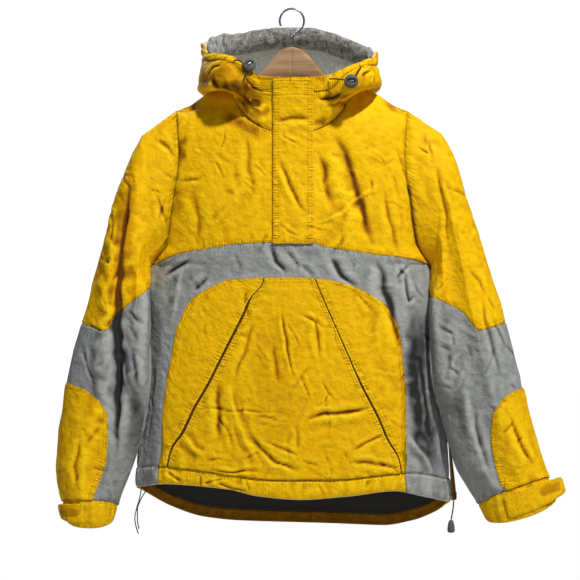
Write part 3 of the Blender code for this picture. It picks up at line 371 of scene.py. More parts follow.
# Painted shade, the colour darkened where shadows fall and in hollows, on the torso, the sleeves and the
# hood: half width, tone and places
FRONT_PAINTED_SHADE = (
    (21, -2.6, (196, 470), (200, 560), (203, 630), (214, 690), (230, 760)),
    (9, -1.2, (148, 440), (158, 490), (176, 556)),
    (11, -0.8, (66, 200), (84, 234), (100, 289), (120, 340), (132, 385)),
    (10, -1.7, (-116, 172), (-96, 182), (-72, 196), (-42, 212)),
    (9, -1.9, (-198, 211), (-181, 219), (-164, 215)),
    (7, -2.1, (-182, 216), (-178, 232), (-174, 250)),
    (9, -0.8, (-178, 282), (-184, 312), (-182, 340)),
    (42, -0.35, (-24, 470), (-26, 560), (-20, 640), (-10, 720)),
)
SLEEVE_PAINTED_SHADE = (
    (15, -2.0, (-262, 235), (-264, 320), (-268, 380), (-275, 455), (-278, 520), (-279, 600), (-283, 680)),
    (14, -1.5, (-268, 505), (-262, 560), (-253, 610), (-240, 668), (-262, 740)),
    (9, -1.0, (262, 598), (268, 650), (276, 700)),
    (26, -0.5, (-300, 520), (-305, 580), (-300, 640)),
    (22, -0.35, (-290, 290), (-300, 350), (-306, 420), (-310, 470)),
)
HOOD_PAINTED_SHADE = (
    (16, -2.4, (-134, 142), (-104, 138), (-74, 138), (-50, 150)),
    (21, -1.1, (-146, 108), (-116, 112), (-84, 118), (-60, 130)),
    (20, -0.6, (128, 116), (110, 124), (88, 136)),
    (9, -2.1, (-134, 156), (-106, 154), (-72, 158), (-48, 166), (-38, 178)),
    (9, -1.9, (-146, 84), (-144, 120), (-138, 156)),
    (9, -1.7, (-96, 162), (-72, 184), (-38, 203)),
    (6, -1.9, (40, 160), (58, 151), (84, 152), (122, 150)),
    (6, -1.4, (32, 190), (48, 189), (62, 180)),
    (5, -1.2, (-126, 120), (-120, 134), (-112, 142)),
)
# Folds on the back, in the same way
BACK_FOLDS = (
    (9, 3.6, 0.4, (60, 190), (72, 250), (88, 330), (94, 385)),
    (8, 3.2, -0.4, (-70, 200), (-82, 262), (-101, 340), (-108, 388)),
    (6, 2.4, 0.2, (10, 170), (16, 240), (6, 310)),
    (5, 2.6, 0, (150, 230), (168, 290), (176, 360)),
    (5, 2.6, 0, (-152, 236), (-166, 300), (-178, 372)),
    (4, -1.6, 0, (-40, 240), (-20, 320), (-26, 380)),
    (6, 3.2, 0.3, (-150, 400), (-128, 430), (-96, 462)),
    (6, 3.2, -0.3, (140, 402), (120, 430), (96, 462)),
    (4, 2.2, 0, (-20, 396), (4, 430), (36, 456)),
    (10, 3.6, 0.4, (-120, 490), (-132, 580), (-118, 680), (-126, 780)),
    (9, 3.4, -0.4, (96, 500), (112, 600), (104, 700), (118, 800)),
    (7, 2.8, 0.2, (-30, 520), (-16, 610), (-24, 720), (-12, 810)),
    (5, 2.4, 0, (180, 520), (170, 600), (184, 680)),
    (5, 2.4, 0, (-184, 530), (-172, 610), (-186, 700)),
    (4, 2.6, 0.2, (-90, 640), (-40, 662), (20, 655)),
    (4, 2.2, 0.2, (30, 700), (80, 716), (140, 706)),
    (4, -1.8, 0, (40, 540), (56, 620), (50, 690)),
    (6, 3.0, 0.3, (-270, 300), (-280, 380), (-296, 470), (-318, 560)),
    (6, 3.0, -0.3, (270, 300), (284, 390), (300, 480), (322, 570)),
    (4, 2.6, 0, (-250, 470), (-286, 500), (-322, 520)),
    (4, 2.6, 0, (250, 480), (290, 508), (328, 524)),
    (5, 2.4, 0, (-260, 600), (-300, 640), (-350, 660)),
    (5, 2.4, 0, (262, 610), (306, 640), (356, 664)),
    (4, 2.2, 0, (-290, 700), (-330, 740), (-350, 780)),
    (4, 2.2, 0, (300, 700), (346, 730), (380, 750)),
)
# Folds on the hood's front and on its back
HOOD_FOLDS = (
    (4, 3.6, 0.3, (-110.7, 96), (-125, 100.6), (-137.6, 116.5)),
    (3, 2.0, 0, (-110, 91), (-101, 83)),
    (5, 4.0, 0.3, (-126.6, 122.8), (-118, 133), (-110.7, 141.8)),
    (3, 1.8, 0, (-56, 111.7), (-43, 138.6)),
    (3, 2.0, 0, (-41.6, 109.5), (-30, 136)),
    (6, -3.0, 0, (-68, 166), (-52, 172), (-42, 160)),
    (3, 2.6, 0.2, (102, 97.5), (113, 102), (130, 103.5)),
    (2.6, 2.0, 0, (118, 92.6), (130, 88)),
    (4, 3.6, 0.3, (109, 120.4), (113, 113), (127.6, 104.8)),
    (3, 2.0, 0, (127.6, 116.9), (130, 126.6)),
    (5, 3.2, 0.3, (39.6, 148), (47.5, 154.4), (64.9, 151.9), (85.4, 142)),
    (5, 2.0, 0, (60, 166), (80, 160), (96, 164)),
)
HOOD_BACK_FOLDS = (
    (8, 4.0, 0.3, (-90, 60), (-72, 110), (-60, 150), (-20, 172)),
    (8, 4.0, -0.3, (92, 62), (76, 108), (60, 152), (18, 174)),
    (6, 3.0, 0.2, (-30, 30), (-22, 90), (-34, 140)),
    (6, 2.6, 0, (30, 34), (36, 84), (24, 130)),
    (5, 2.6, 0, (-120, 100), (-96, 140), (-70, 170)),
    (5, 2.6, 0, (122, 98), (100, 138), (72, 168)),
    (4, -2.0, 0, (-10, 120), (20, 132), (48, 122)),
)
# How each seam looks: width and depth of its valley, its rows of stitching, and its puckers' size and pitch
PLAIN_SEAM = (2.2, 1.0, (), 0.35, 9.0)
TOPSTITCHED = (2.0, 1.1, (3.2, 7.4), 0.75, 7.0)
SIDE_SEAM = (2.2, 1.2, (), 0.7, 10.0)
BACK_SIDE = (2.2, 1.2, (), 0.7, 11.0)
BACK_ARMHOLE = (2.6, 1.2, (), 1.0, 11.0)
MOUTH_EDGE = (1.3, 1.1, (3.2, 8.6), 1.0, 7.5)
MOUTH_HEM = (1.2, 0.7, (3.2, 8.0), 0.8, 7.5)
PATCH_EDGE = (2.2, 1.2, (3.0, 7.2), 0.9, 6.5)
TAB_EDGE = (1.2, 0.8, (2.8,), 0.35, 6.0)
CHANNEL_SEAM = (1.5, 0.3, (), 1.0, 9.5)
RIM_EDGE = (1.0, 0.3, (), 1.0, 8.0)
HOOD_NECK = (2.0, 0.8, (3.4,), 0.9, 7.0)
SEAMS = {
    "front_yoke": {"top": (2.0, 1.0, (3.4,), 0.65, 7.5), "right": (3.0, 0.45, (), 1.3, 9.0),
                   "foot": TOPSTITCHED},
    "front_lower": {"top": (2.0, 1.0, (), 0.8, 7.0), "left": SIDE_SEAM, "right": SIDE_SEAM,
                    "foot": PLAIN_SEAM},
    "pocket_centre": {"left": MOUTH_EDGE, "right": MOUTH_EDGE, "top": (2.2, 1.2, (3.2, 7.8), 0.9, 6.5),
                      "foot": PLAIN_SEAM},
    "pocket_side": {"left": (2.4, 1.4, (3.0, 7.4), 1.0, 6.5), "foot": PLAIN_SEAM},
    "hem_casing": {"top": (1.8, 1.1, (2.6,), 0.8, 6.5), "foot": (1.4, 1.0, (), 0.5, 8.0), "left": PLAIN_SEAM,
                   "right": PLAIN_SEAM},
    "storm_flap": {"left": (1.5, 1.1, (3.4, 8.4), 1.0, 5.5), "right": (1.5, 1.1, (3.4, 8.4), 0.8, 5.5),
                   "top": (1.5, 1.2, (3.0,), 0.5, 6.0), "foot": (1.5, 0.9, (3.2, 7.6), 0.7, 6.5)},
    "back_yoke": {"top": PLAIN_SEAM, "left": BACK_ARMHOLE, "right": BACK_ARMHOLE, "foot": TOPSTITCHED},
    "back_band": {"top": PLAIN_SEAM, "foot": PLAIN_SEAM, "left": BACK_SIDE, "right": BACK_SIDE},
    "back_lower": {"top": TOPSTITCHED, "left": BACK_SIDE, "right": BACK_SIDE,
                   "foot": (1.4, 0.9, (17.0,), 0.8, 9.0)},
    "back_lining": {"foot": PLAIN_SEAM},
    "back_facing": {"top": (1.5, 0.6, (2.4,), 0.5, 8.0), "foot": (1.2, 0.7, (), 0.3, 8.0)},
    "sleeve_upper": {"top": (3.0, 0.45, (), 1.2, 9.0), "foot": TOPSTITCHED},
    "sleeve_lower": {"top": (2.0, 1.0, (), 0.7, 7.0), "foot": (2.0, 1.2, (), 1.1, 9.0)},
    "forearm_patch": {"top": PATCH_EDGE, "left": PATCH_EDGE, "right": PATCH_EDGE, "foot": PLAIN_SEAM},
    "cuff": {"top": (1.8, 1.3, (2.8,), 0.8, 7.0), "foot": (1.3, 0.9, (3.2, 7.6), 0.6, 7.0)},
    "cuff_tab": {"top": TAB_EDGE, "foot": TAB_EDGE, "left": TAB_EDGE, "right": TAB_EDGE},
}
# The panels whose rows of stitching are laid together, and the one row that stops short of its seam's ends
SEWING = {
    "yokes": ("front_yoke_right", "front_yoke_left"),
    "flap": ("storm_flap",),
    "pocket": ("pocket_centre", "pocket_side_right", "pocket_side_left"),
    "hem": ("hem_casing_side_right", "hem_casing_front", "hem_casing_side_left"),
    "back": ("back_yoke", "back_lower"),
    "hood": (),
    "sleeves": ("sleeve_upper_right", "sleeve_upper_left"),
    "patches": ("forearm_patch_right", "forearm_patch_left"),
    "cuffs": ("cuff_right", "cuff_left", "cuff_tab_right", "cuff_tab_left"),
}
YOKE_NECK_ROW = (0.08, 0.66)
# Places and powers in metres and watts: camera, floor and each light's place, aim, power, width and colour
CAMERA_PLACE = (-0.003, -2.64, -0.455)
CAMERA_LENS = 100.9
SENSOR_WIDTH = 36
FLOOR_DROP = 1000.0
FLOOR_REACH = 6000.0
SURROUND_SEEN = 1.05
WARM = (1.0, 0.97, 0.92)
COOL = (0.94, 0.97, 1.0)
LIGHTS = (
    ("key_light", (1.35, -2.35, 3.1), (0, 0, -0.4), None, 0.3, WARM),
    ("fill_light", (-0.6, -3.2, 0.4), (0, 0, -0.5), 5.0, 1.6, COOL),
    ("rim_light", (-1.6, 3.2, 1.8), (0, 0, -0.4), 90.0, 1.2, COOL),
)

# How far the cloth stands out or in, beside its folds: at the torso's sides, the shoulders' ends and under
# the arms, along the sleeves, round the hood's opening, and where a stitch draws it in
SIDE_TURNED_IN = 5.0
SHOULDER_DIP = 5.0
SHOULDER_END = 163.0
RIGHT_FULLNESS = 6.5
LEFT_FULLNESS = 4.5
ARMHOLE_SINK = 2.6
POCKET_SINK = 1.3
CASING_PUFF = 1.7
CASING_GATHERS = 1.3
CUFF_GATHERS = 1.2
SLEEVE_TURNED_IN = 2.5
FOREARM_SWELL = 8.0
UNDERARM_SWELL = 4.5
HOOD_SAG = 7.0
# The hollows under the hood's front: middle, depth, and how wide and high each is
HOOD_HOLLOWS = ((-84, 7.0, 42, 13), (82, 4.0, 36, 9))
CHANNEL_VALLEY = 1.9
RIM_PUFF = 1.4
RIM_WAVES = 1.2
STITCH_DRAW = 0.5
CREASE_DEPTH = 0.9

MADE = {}  # each panel's outside and its rows of stitching, for the sewing


# ---------------------------------------------------------------- numbers


def smooth(stations, values, at):
    """Monotone cubic curve through values at ascending stations, level beyond both ends."""
    stations = np.asarray(stations, float)
    values = np.asarray(values, float)
    at = np.clip(np.asarray(at, float), stations[0], stations[-1])
    spot = np.clip(np.searchsorted(stations, at, side="right") - 1, 0, len(stations) - 2)
    step = np.diff(stations)
    slope = np.diff(values) / step
    tangent = np.concatenate([slope[:1], np.zeros(len(slope) - 1), slope[-1:]])
    product = slope[:-1] * slope[1:]
    total = np.where(product > 0, slope[:-1] + slope[1:], 1.0)
    tangent[1:-1] = np.where(product > 0, 2 * product / total, 0.0)
    width = step[spot]
    t = (at - stations[spot]) / width
    return (values[spot] * (1 + 2 * t) * (1 - t) ** 2 + tangent[spot] * width * t * (1 - t) ** 2
            + values[spot + 1] * t * t * (3 - 2 * t) - tangent[spot + 1] * width * t * t * (1 - t))


def read_table(table, at):
    """The table's columns at places between its rows."""
    columns = np.array(table, float).T
    return [smooth(columns[0], column, at) for column in columns[1:]]


def drop_of(line, x):
    """How far down a line across the garment runs at x."""
    return read_table(line, x)[0]


def step_up(low, high, value):
    """0 below low, rising smoothly to 1 above high."""
    share = np.clip((value - low) / (high - low), 0, 1)
    return share * share * (3 - 2 * share)


def unit(vectors):
    """The vectors at length 1."""
    return vectors / np.maximum(np.linalg.norm(vectors, axis=-1, keepdims=True), 1e-9)


def lattice(cells, seed):
    """A repeatable number from -1 to 1 for each whole-numbered cell."""
    mixed = cells[0] * 73856093 ^ cells[1] * 19349663 ^ cells[2] * 83492791 ^ np.int64(seed * 7919 + 17)
    mixed = (mixed ^ (mixed >> 13)) * 1274126177
    mixed = (mixed ^ (mixed >> 16)) & 0xFFFF
    return mixed / 32767.5 - 1


def noise(x, y, z, size, seed):
    """Soft noise from -1 to 1 whose bumps are about as large as size."""
    places = [np.asarray(part, float) / size + 100.0 for part in np.broadcast_arrays(x, y, z)]
    cells = [np.floor(place).astype(np.int64) for place in places]
    shares = [place - cell for place, cell in zip(places, cells)]
    shares = [share * share * (3 - 2 * share) for share in shares]
    total = 0.0
    for corner in range(8):
        steps = (corner & 1, corner >> 1 & 1, corner >> 2 & 1)
        weight = 1.0
        for share, step in zip(shares, steps):
            weight = weight * (share if step else 1 - share)
        total = total + weight * lattice([cell + step for cell, step in zip(cells, steps)], seed)
    return total


def beside_path(path, width, x, drop):
    """Which places lie near a path, how many widths off it they are, and the fading towards its ends."""
    path = np.array(path, float)
    reach = 4.5 * width
    near = ((x > path[:, 0].min() - reach) & (x < path[:, 0].max() + reach)
            & (drop > path[:, 1].min() - reach) & (drop < path[:, 1].max() + reach))
    at_x, at_drop = x[near], drop[near]
    lengths = np.linalg.norm(np.diff(path, axis=0), axis=1)
    best, turned, place = np.full(at_x.shape, 1e9), np.ones(at_x.shape), np.zeros(at_x.shape)
    gone = 0.0
    for start, end, length in zip(path, path[1:], lengths):
        way = end - start
        t = np.clip(((at_x - start[0]) * way[0] + (at_drop - start[1]) * way[1]) / length ** 2, 0, 1)
        off_x = at_x - start[0] - t * way[0]
        off_drop = at_drop - start[1] - t * way[1]
        miss = off_x ** 2 + off_drop ** 2
        closer = miss < best
        best = np.where(closer, miss, best)
        turned = np.where(closer, np.sign(way[0] * off_drop - way[1] * off_x), turned)
        place = np.where(closer, (gone + t * length) / lengths.sum(), place)
        gone += length
    uneven = 0.85 + 0.35 * noise(at_x, at_drop, width, 17, 5)
    fade = step_up(-0.04, 0.28, place) * step_up(-0.04, 0.28, 1 - place)
    return near, turned * np.sqrt(best) / (width * uneven), fade


def fold_field(table, x, drop):
    """How far the cloth stands out or in where the table's folds run."""
    wander_x = x + 3.0 * noise(x, drop, 0, 24, 11)
    wander_drop = drop + 3.0 * noise(x, drop, 0, 24, 12)
    total = np.zeros_like(x)
    for width, depth, lean, *path in table:
        near, s, fade = beside_path(path, width, wander_x, wander_drop)
        trough = -1 / (1 + (s / 0.5) ** 2) ** 1.3
        banks = ((0.4 + 0.3 * lean) * np.exp(-((s - 1.75) / 0.95) ** 2)
                 + (0.4 - 0.3 * lean) * np.exp(-((s + 1.75) / 0.95) ** 2))
        total[near] += depth * fade * (trough + banks)
    return total


def painted_shade_field(table, x, drop):
    """Painted shade: how much darker the cloth's colour is made in hollows and where shadows fall: width,
    tone and path.
    """
    total = np.zeros_like(x)
    for width, tone, *path in table:
        near, s, fade = beside_path(path, width, x, drop)
        total[near] = np.minimum(total[near], tone * fade * np.exp(-np.abs(s) ** 3))
    return total


def scattered_folds(seed, count, low, high, depth):
    """Short soft folds strewn over an area, most of them slanting down."""
    dice = np.random.default_rng(seed)
    table = []
    for _ in range(count):
        x = dice.uniform(low[0], high[0])
        drop = dice.uniform(low[1], high[1])
        length = dice.uniform(14, 52)
        turn = dice.normal(1.2, 0.6) * dice.choice((-1, 1))
        way = (length * cos(turn), abs(length * sin(turn)))
        bend = dice.uniform(-5, 5)
        table.append((dice.uniform(2.2, 5.0), dice.uniform(0.4, 1.0) * depth * dice.choice((1, 1, -0.7)),
                      dice.uniform(-0.5, 0.5), (x, drop), (x + way[0] / 2 + bend, drop + way[1] / 2),
                      (x + way[0], drop + way[1])))
    return tuple(table)


# ---------------------------------------------------------------- the garment's form


def fullness_below_shoulder(x, drop):
    """0 on the shoulder line, rising to 1 where the torso is full."""
    reach = np.clip((drop - drop_of(SHOULDER_LINE, np.abs(x))) / RIDGE_REACH, 0, 1)
    return (1 - (1 - reach) ** 2) ** RIDGE_POWER


def armhole_depth(drop):
    """Half the depth of the armhole's oval at a drop."""
    t = np.clip((drop - ARMHOLE_TOP) / (UNDERARM - ARMHOLE_TOP), 0, 1)
    return ARMHOLE_HALF_DEPTH * 2.19 * (np.sqrt(t * (1 - t) + 0.002) - 0.002 ** 0.5)


def torso(face, across, drop):
    """The torso's outside. face is -1 front or 1 back; across runs from -1 to 1."""
    across, drop = np.broadcast_arrays(np.asarray(across, float), np.asarray(drop, float))
    centre, half_width, front, back, roundness = read_table(TORSO, drop)
    x = centre + half_width * across
    edge = armhole_depth(drop)
    depth = np.where(np.asarray(face) < 0, front, back)
    crown = np.maximum(0, 1 - across ** 2) ** (roundness / 2)
    y = face * (edge + (depth - edge) * crown * fullness_below_shoulder(x, drop))
    return np.stack([x, y, -drop], axis=-1)


def torso_across(x, drop):
    """The share of the half width at x."""
    centre, half_width, *_ = read_table(TORSO, drop)
    return np.clip((x - centre) / half_width, -1, 1)


def torso_outward(face, across, drop):
    """The way the cloth faces, level along edges that two pieces share."""
    across, drop = np.broadcast_arrays(np.asarray(across, float), np.asarray(drop, float))
    before, after = np.maximum(-1, across - 0.012), np.minimum(1, across + 0.012)
    side = torso(face, after, drop) - torso(face, before, drop)
    rise = torso(face, across, drop + 0.5) - torso(face, across, drop + 3.5)
    outward = np.cross(side, rise)
    facing = np.broadcast_to(face, across.shape)[..., None]
    outward = unit(outward * np.where(outward[..., 1:2] * facing < 0, -1, 1))
    x = torso(face, across, drop)[..., 0]
    ridge = np.clip(1 - (drop - drop_of(SHOULDER_LINE, np.abs(x))) / 14, 0, 1)[..., None]
    outward = outward * (1 - ridge) + np.array([0, 0, 1.0]) * ridge
    edge = np.clip(1 - (1 - np.abs(across)) / 0.04, 0, 1)
    edge = (edge * np.clip(1 - armhole_depth(drop) / 12, 0, 1) * (drop > 300))[..., None]
    level = np.stack([np.sign(across), np.zeros_like(across), np.zeros_like(across)], axis=-1)
    return unit(outward * (1 - edge) + level * edge)


def neckline(angle):
    """The neck seam at angles round from the front centre: face, across and drop."""
    turn = np.radians(angle)
    x = NECK_HALF_WIDTH * np.sin(turn)
    front = np.cos(turn) > 1e-9
    face = np.where(front, -1, 1)
    reach = np.where(front, NECK_FRONT_DROP, NECK_BACK_DROP)
    drop = NECK_SIDE_DROP + (reach - NECK_SIDE_DROP) * np.abs(np.cos(turn)) ** 0.75
    drop = np.maximum(drop, drop_of(SHOULDER_LINE, np.abs(x)) + 0.2)
    return face, torso_across(x, drop), drop


def armhole_drop(share):
    """The armhole seam's drop at a share of its height, from the shoulder to the underarm."""
    return ARMHOLE_TOP + 0.3 + (UNDERARM - ARMHOLE_TOP - 0.8) * share


def grid_normals(points, closed=False):
    """Unit normals of a grid of points."""
    if closed:
        across = np.roll(points, -1, axis=1) - np.roll(points, 1, axis=1)
    else:
        across = np.gradient(points, axis=1)
    return unit(np.cross(across, np.gradient(points, axis=0)))


def shares(length, pitch, start=True, end=True):
    """Places from 0 to 1 along a length, closer together beside a sewn edge."""
    close = [0.0, 0.9, 2.0, 3.2, 4.4, 5.8, 7.4, 9.2]
    head = close if start else [0.0]
    tail = close if end else [0.0]
    count = max(2, round((length - head[-1] - tail[-1]) / pitch))
    middle = np.linspace(head[-1], length - tail[-1], count + 1)[1:-1]
    return np.concatenate([head, middle, length - np.array(tail[::-1])]) / length


def measure(base, closed=False):
    """Each grid point's distance from the grid's four edges, along the cloth."""
    down = np.linalg.norm(np.diff(base, axis=0), axis=2)
    top = np.vstack([np.zeros((1, base.shape[1])), np.cumsum(down, axis=0)])
    side = np.linalg.norm(np.diff(base, axis=1), axis=2)
    left = np.hstack([np.zeros((base.shape[0], 1)), np.cumsum(side, axis=1)])
    round_it = left[:, -1:]
    if closed:
        round_it = round_it + np.linalg.norm(base[:, :1] - base[:, -1:], axis=2)
    return {"top": top, "foot": top[-1:] - top, "left": left, "right": round_it - left, "round": round_it}


def seam_relief(distance, along, style, seed):
    """The valley, grooves and puckers of one seam at distances from it."""
    width, depth, rows, pucker, pitch = style
    relief = -depth * np.exp(-(distance / width) ** 2)
    for row in rows:
        relief = relief - STITCH_DRAW * np.exp(-((distance - row) / 1.0) ** 2)
    wave = noise(along + 2.5 * noise(along, distance, 0, 21, seed + 3), distance * 0.35, seed, pitch, seed)
    wave = wave + 0.5 * noise(along, distance * 0.5, seed, pitch * 0.55, seed + 1)
    reach = 9 + 7 * noise(along, 0, seed, 30, seed + 2)
    return relief + pucker * wave * np.exp(-(distance / reach) ** 2) * step_up(0, 2.2, distance)


FRONT_ALL = FRONT_FOLDS + scattered_folds(3, 70, (-215, 215), (215, 760), 1.5)
BACK_ALL = BACK_FOLDS + scattered_folds(8, 70, (-225, 205), (180, 800), 1.2)
SLEEVE_FRONT = FRONT_FOLDS + scattered_folds(22, 40, (-365, 240), (-240, 780), 1.7) + scattered_folds(
    23, 40, (235, 240), (395, 780), 1.7)
SLEEVE_BACK = BACK_FOLDS + scattered_folds(26, 34, (-365, 240), (-240, 780), 1.7) + scattered_folds(
    27, 34, (235, 240), (395, 780), 1.7)


def crumple(points, seed):
    """The cloth's small unevenness everywhere: soft pads of wadding and fine crinkles."""
    x, y, z = points[..., 0], points[..., 1], points[..., 2]
    soft = 1.0 * noise(x, y, z, 62, seed) + 0.45 * noise(x, y, z, 31, seed + 1)
    warp = 9 * noise(x, y, z, 34, seed + 4)
    busy = 0.3 + 0.7 * step_up(-0.5, 0.5, noise(x, y, z, 75, seed + 5))
    broad = 0.5 - np.abs(noise(x + warp, y, z * 0.75 - warp, 27, seed + 2)) * 1.6
    tight = np.abs(noise(x - warp, y, z * 0.8 + warp, 13, seed + 3)) * 1.6 - 0.5
    return soft + busy * (0.95 * broad + 0.55 * tight)


def torso_relief(face, across, drop):
    """The torso's folds, which every layer over it shares."""
    points = torso(face, across, drop)
    folds = fold_field(FRONT_ALL if face < 0 else BACK_ALL, points[..., 0], -points[..., 2])
    relief = folds * (1.0 if face < 0 else 0.62) + crumple(points, 40)
    beside_sleeve = step_up(0.84, 0.95, np.abs(across))
    relief = relief * (1 - beside_sleeve) + np.minimum(relief, 0) * 0.5 * beside_sleeve
    if face < 0:
        turned_in = step_up(0.83, 0.94, np.abs(across)) * step_up(1.0, 0.97, np.abs(across))
        relief = relief - SIDE_TURNED_IN * turned_in * step_up(470, 520, drop)
    off_middle = np.abs(points[..., 0])
    below_shoulder = drop - drop_of(SHOULDER_LINE, off_middle)
    dip = SHOULDER_DIP * np.exp(-((off_middle - SHOULDER_END) / 16) ** 2) * step_up(30, 0, below_shoulder)
    under_arm = step_up(406, 415, drop)
    full = RIGHT_FULLNESS * step_up(-0.94, -1.0, across) * under_arm * step_up(482, 452, drop)
    full = full + LEFT_FULLNESS * step_up(0.94, 1.0, across) * under_arm * step_up(450, 430, drop)
    return relief * step_up(-2, 26, below_shoulder) - dip + full


# ---------------------------------------------------------------- meshes and materials


def link(made):
    """Put an object in the scene."""
    bpy.context.scene.collection.objects.link(made)
    return made


def mesh_object(name, points, faces, finish, flat=False):
    """An object from points in millimetres and faces."""
    mesh = bpy.data.meshes.new(name)
    mesh.from_pydata((np.asarray(points, float) * MM).tolist(), [], faces)
    mesh.materials.append(finish)
    if not flat:
        mesh.shade_smooth()
    mesh.update()
    return link(bpy.data.objects.new(name, mesh))


def cloth(name, base, outward, relief, ply, finish, closed=False, step=2, seams=None, seed=0, shade=0.0):
    """A thin closed shell of cloth: a fine outside, a coarser inside and the edges between.

    seams gives the look of each edge's seam, or of another line: the gap to it, the way along it and its
    look.
    """
    size = measure(base, closed)
    nearest = np.full(relief.shape, 1e3)
    along_seam, pucker = np.zeros(relief.shape), np.zeros(relief.shape)
    for spot, (edge, style) in enumerate((seams or {}).items()):
        if edge in size:
            gap, along = size[edge], size["left" if edge in ("top", "foot") else "top"]
        else:
            gap, along, style = style
        relief = relief + seam_relief(gap, along, style, seed + 10 * spot)
        pucker = np.maximum(pucker, style[3] * np.exp(-(gap / 8.5) ** 2))
        along_seam = np.where(gap < nearest, along, along_seam)
        nearest = np.minimum(nearest, gap)
    rows, columns = relief.shape
    outer = base + outward * relief[..., None]
    lie = grid_normals(outer, closed)
    facing = 1.0 if (lie * outward).sum() > 0 else -1.0
    lie = lie * facing
    kept_rows = [*range(0, rows - 1, step), rows - 1]
    kept_columns = [*range(0, columns, step)] if closed else [*range(0, columns - 1, step), columns - 1]
    ply = np.broadcast_to(np.asarray(ply, float), relief.shape)
    lowest = relief
    for axis in (0, 1):
        padded = np.pad(lowest, [(1, 1) if axis == way else (0, 0) for way in (0, 1)], mode="edge")
        lowest = np.minimum(np.minimum(padded.take(range(0, lowest.shape[axis]), axis), lowest),
                            padded.take(range(2, lowest.shape[axis] + 2), axis))
    inner = outer - lie * ply[..., None] - outward * (relief - lowest)[..., None]
    inner = inner[np.ix_(kept_rows, kept_columns)]
    ids = np.arange(rows * columns).reshape(rows, columns)
    inner_ids = rows * columns + np.arange(len(kept_rows) * len(kept_columns)).reshape(
        len(kept_rows), len(kept_columns))

    def quads(grid):
        beside = np.roll(grid, -1, axis=1)
        last = grid.shape[1] if closed else grid.shape[1] - 1
        return np.stack([grid[:-1, :last], beside[:-1, :last], beside[1:, :last], grid[1:, :last]],
                        axis=-1).reshape(-1, 4)

    faces = quads(ids).tolist() + quads(inner_ids)[:, ::-1].tolist()
    bounds = kept_columns + [columns] if closed else kept_columns
    for spot, (start, end) in enumerate(zip(bounds, bounds[1:])):
        run = [column % columns for column in range(start, end + 1)]
        beside = (spot + 1) % len(kept_columns)
        faces.append([int(ids[0, column]) for column in run[::-1]]
                     + [int(inner_ids[0, spot]), int(inner_ids[0, beside])])
        faces.append([int(ids[-1, column]) for column in run]
                     + [int(inner_ids[-1, beside]), int(inner_ids[-1, spot])])
    if not closed:
        for spot, (start, end) in enumerate(zip(kept_rows, kept_rows[1:])):
            run = list(range(start, end + 1))
            faces.append([int(ids[row, 0]) for row in run]
                         + [int(inner_ids[spot + 1, 0]), int(inner_ids[spot, 0])])
            faces.append([int(ids[row, -1]) for row in run[::-1]]
                         + [int(inner_ids[spot, -1]), int(inner_ids[spot + 1, -1])])
    if facing < 0:
        faces = [face[::-1] for face in faces]
    points = np.concatenate([outer.reshape(-1, 3), inner.reshape(-1, 3)])
    made = mesh_object(name, points, faces, finish)
    inside = np.ix_(kept_rows, kept_columns)
    # Painted shade and highlight: this value darkens the colour where the relief lies below its surroundings
    # and lightens it where above, plus any shade a piece paints on; the hidden inside gets that shade too
    # when it is one number
    within = shade if np.ndim(shade) == 0 else 0.0
    for word, values, hidden in (("fold", np.clip(relief - blurred(relief, 4), -4, 1.6) + shade, within),
                                 ("pucker", pucker, 0.0)):
        values = np.concatenate([values.ravel(), hidden + 0 * values[inside].ravel()])
        made.data.attributes.new(word, "FLOAT", "POINT").data.foreach_set("value", values)
    corners = np.empty(len(made.data.loops), np.int32)
    made.data.loops.foreach_get("vertex_index", corners)
    for word, u, v in (("cloth", size["left"], -size["top"]), ("seam", along_seam, nearest)):
        places = np.stack([u, v], axis=-1) * MM
        places = np.concatenate([places.reshape(-1, 2), places[inside].reshape(-1, 2)])
        made.data.uv_layers.new(name=word).data.foreach_set("uv", places[corners].ravel())
    rows = [(edge, row) for edge, style in (seams or {}).items() if edge in size for row in style[2]]
    MADE[name] = {"outer": outer, "lie": lie, "size": size, "closed": closed, "rows": rows}
    return made


def blurred(grid, reach):
    """The grid with each value averaged over its neighbours."""
    padded = np.pad(grid, reach, mode="edge")
    sums = np.cumsum(np.cumsum(padded, axis=0), axis=1)
    sums = np.pad(sums, ((1, 0), (1, 0)))
    span = 2 * reach + 1
    return (sums[span:, span:] - sums[:-span, span:] - sums[span:, :-span] + sums[:-span, :-span]) / span ** 2


def declare(made, slot, *nodes):
    """Tie a piece to the body and hide the solids it stands for; the slot is not used."""
    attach(made, "root")
    if nodes:
        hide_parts(*nodes)
    return made


def declare_cloth(made, slot, *nodes, held="hung"):
    """The same for a sheet of cloth: the size its panel is cut to is worked out but not kept."""
    declare(made, slot, *nodes)
    size = MADE[made.name]["size"]
    outer = MADE[made.name]["outer"]
    if MADE[made.name]["closed"]:
        outer = np.concatenate([outer, outer[:, :1]], axis=1)
    one = outer[1:, :-1] - outer[:-1, :-1]
    two = outer[:-1, 1:] - outer[:-1, :-1]
    three = outer[1:, 1:] - outer[:-1, 1:]
    four = outer[1:, 1:] - outer[1:, :-1]
    area = (np.linalg.norm(np.cross(one, two), axis=-1).sum()
            + np.linalg.norm(np.cross(three, four), axis=-1).sum()) / 2 * MM * MM
    width = float(size["round"].max()) * MM
    length = float(size["top"].max()) * MM
    area = min(area, width * length)
    return made


def shader_of(name, colour, roughness, metallic=0.0):
    """A Principled material made once, with its shader and its nodes."""
    found = bpy.data.materials.get(name)
    if found:
        return found, None, None
    made = bpy.data.materials.new(name)
    made.use_nodes = True
    nodes = made.node_tree.nodes
    shader = nodes["Principled BSDF"]
    shader.inputs["Base Color"].default_value = (*colour, 1)
    shader.inputs["Roughness"].default_value = roughness
    shader.inputs["Metallic"].default_value = metallic
    shader.inputs["Specular IOR Level"].default_value = 0.5 if metallic else 0.06
    made.diffuse_color = (*colour, 1)
    return made, shader, made.node_tree


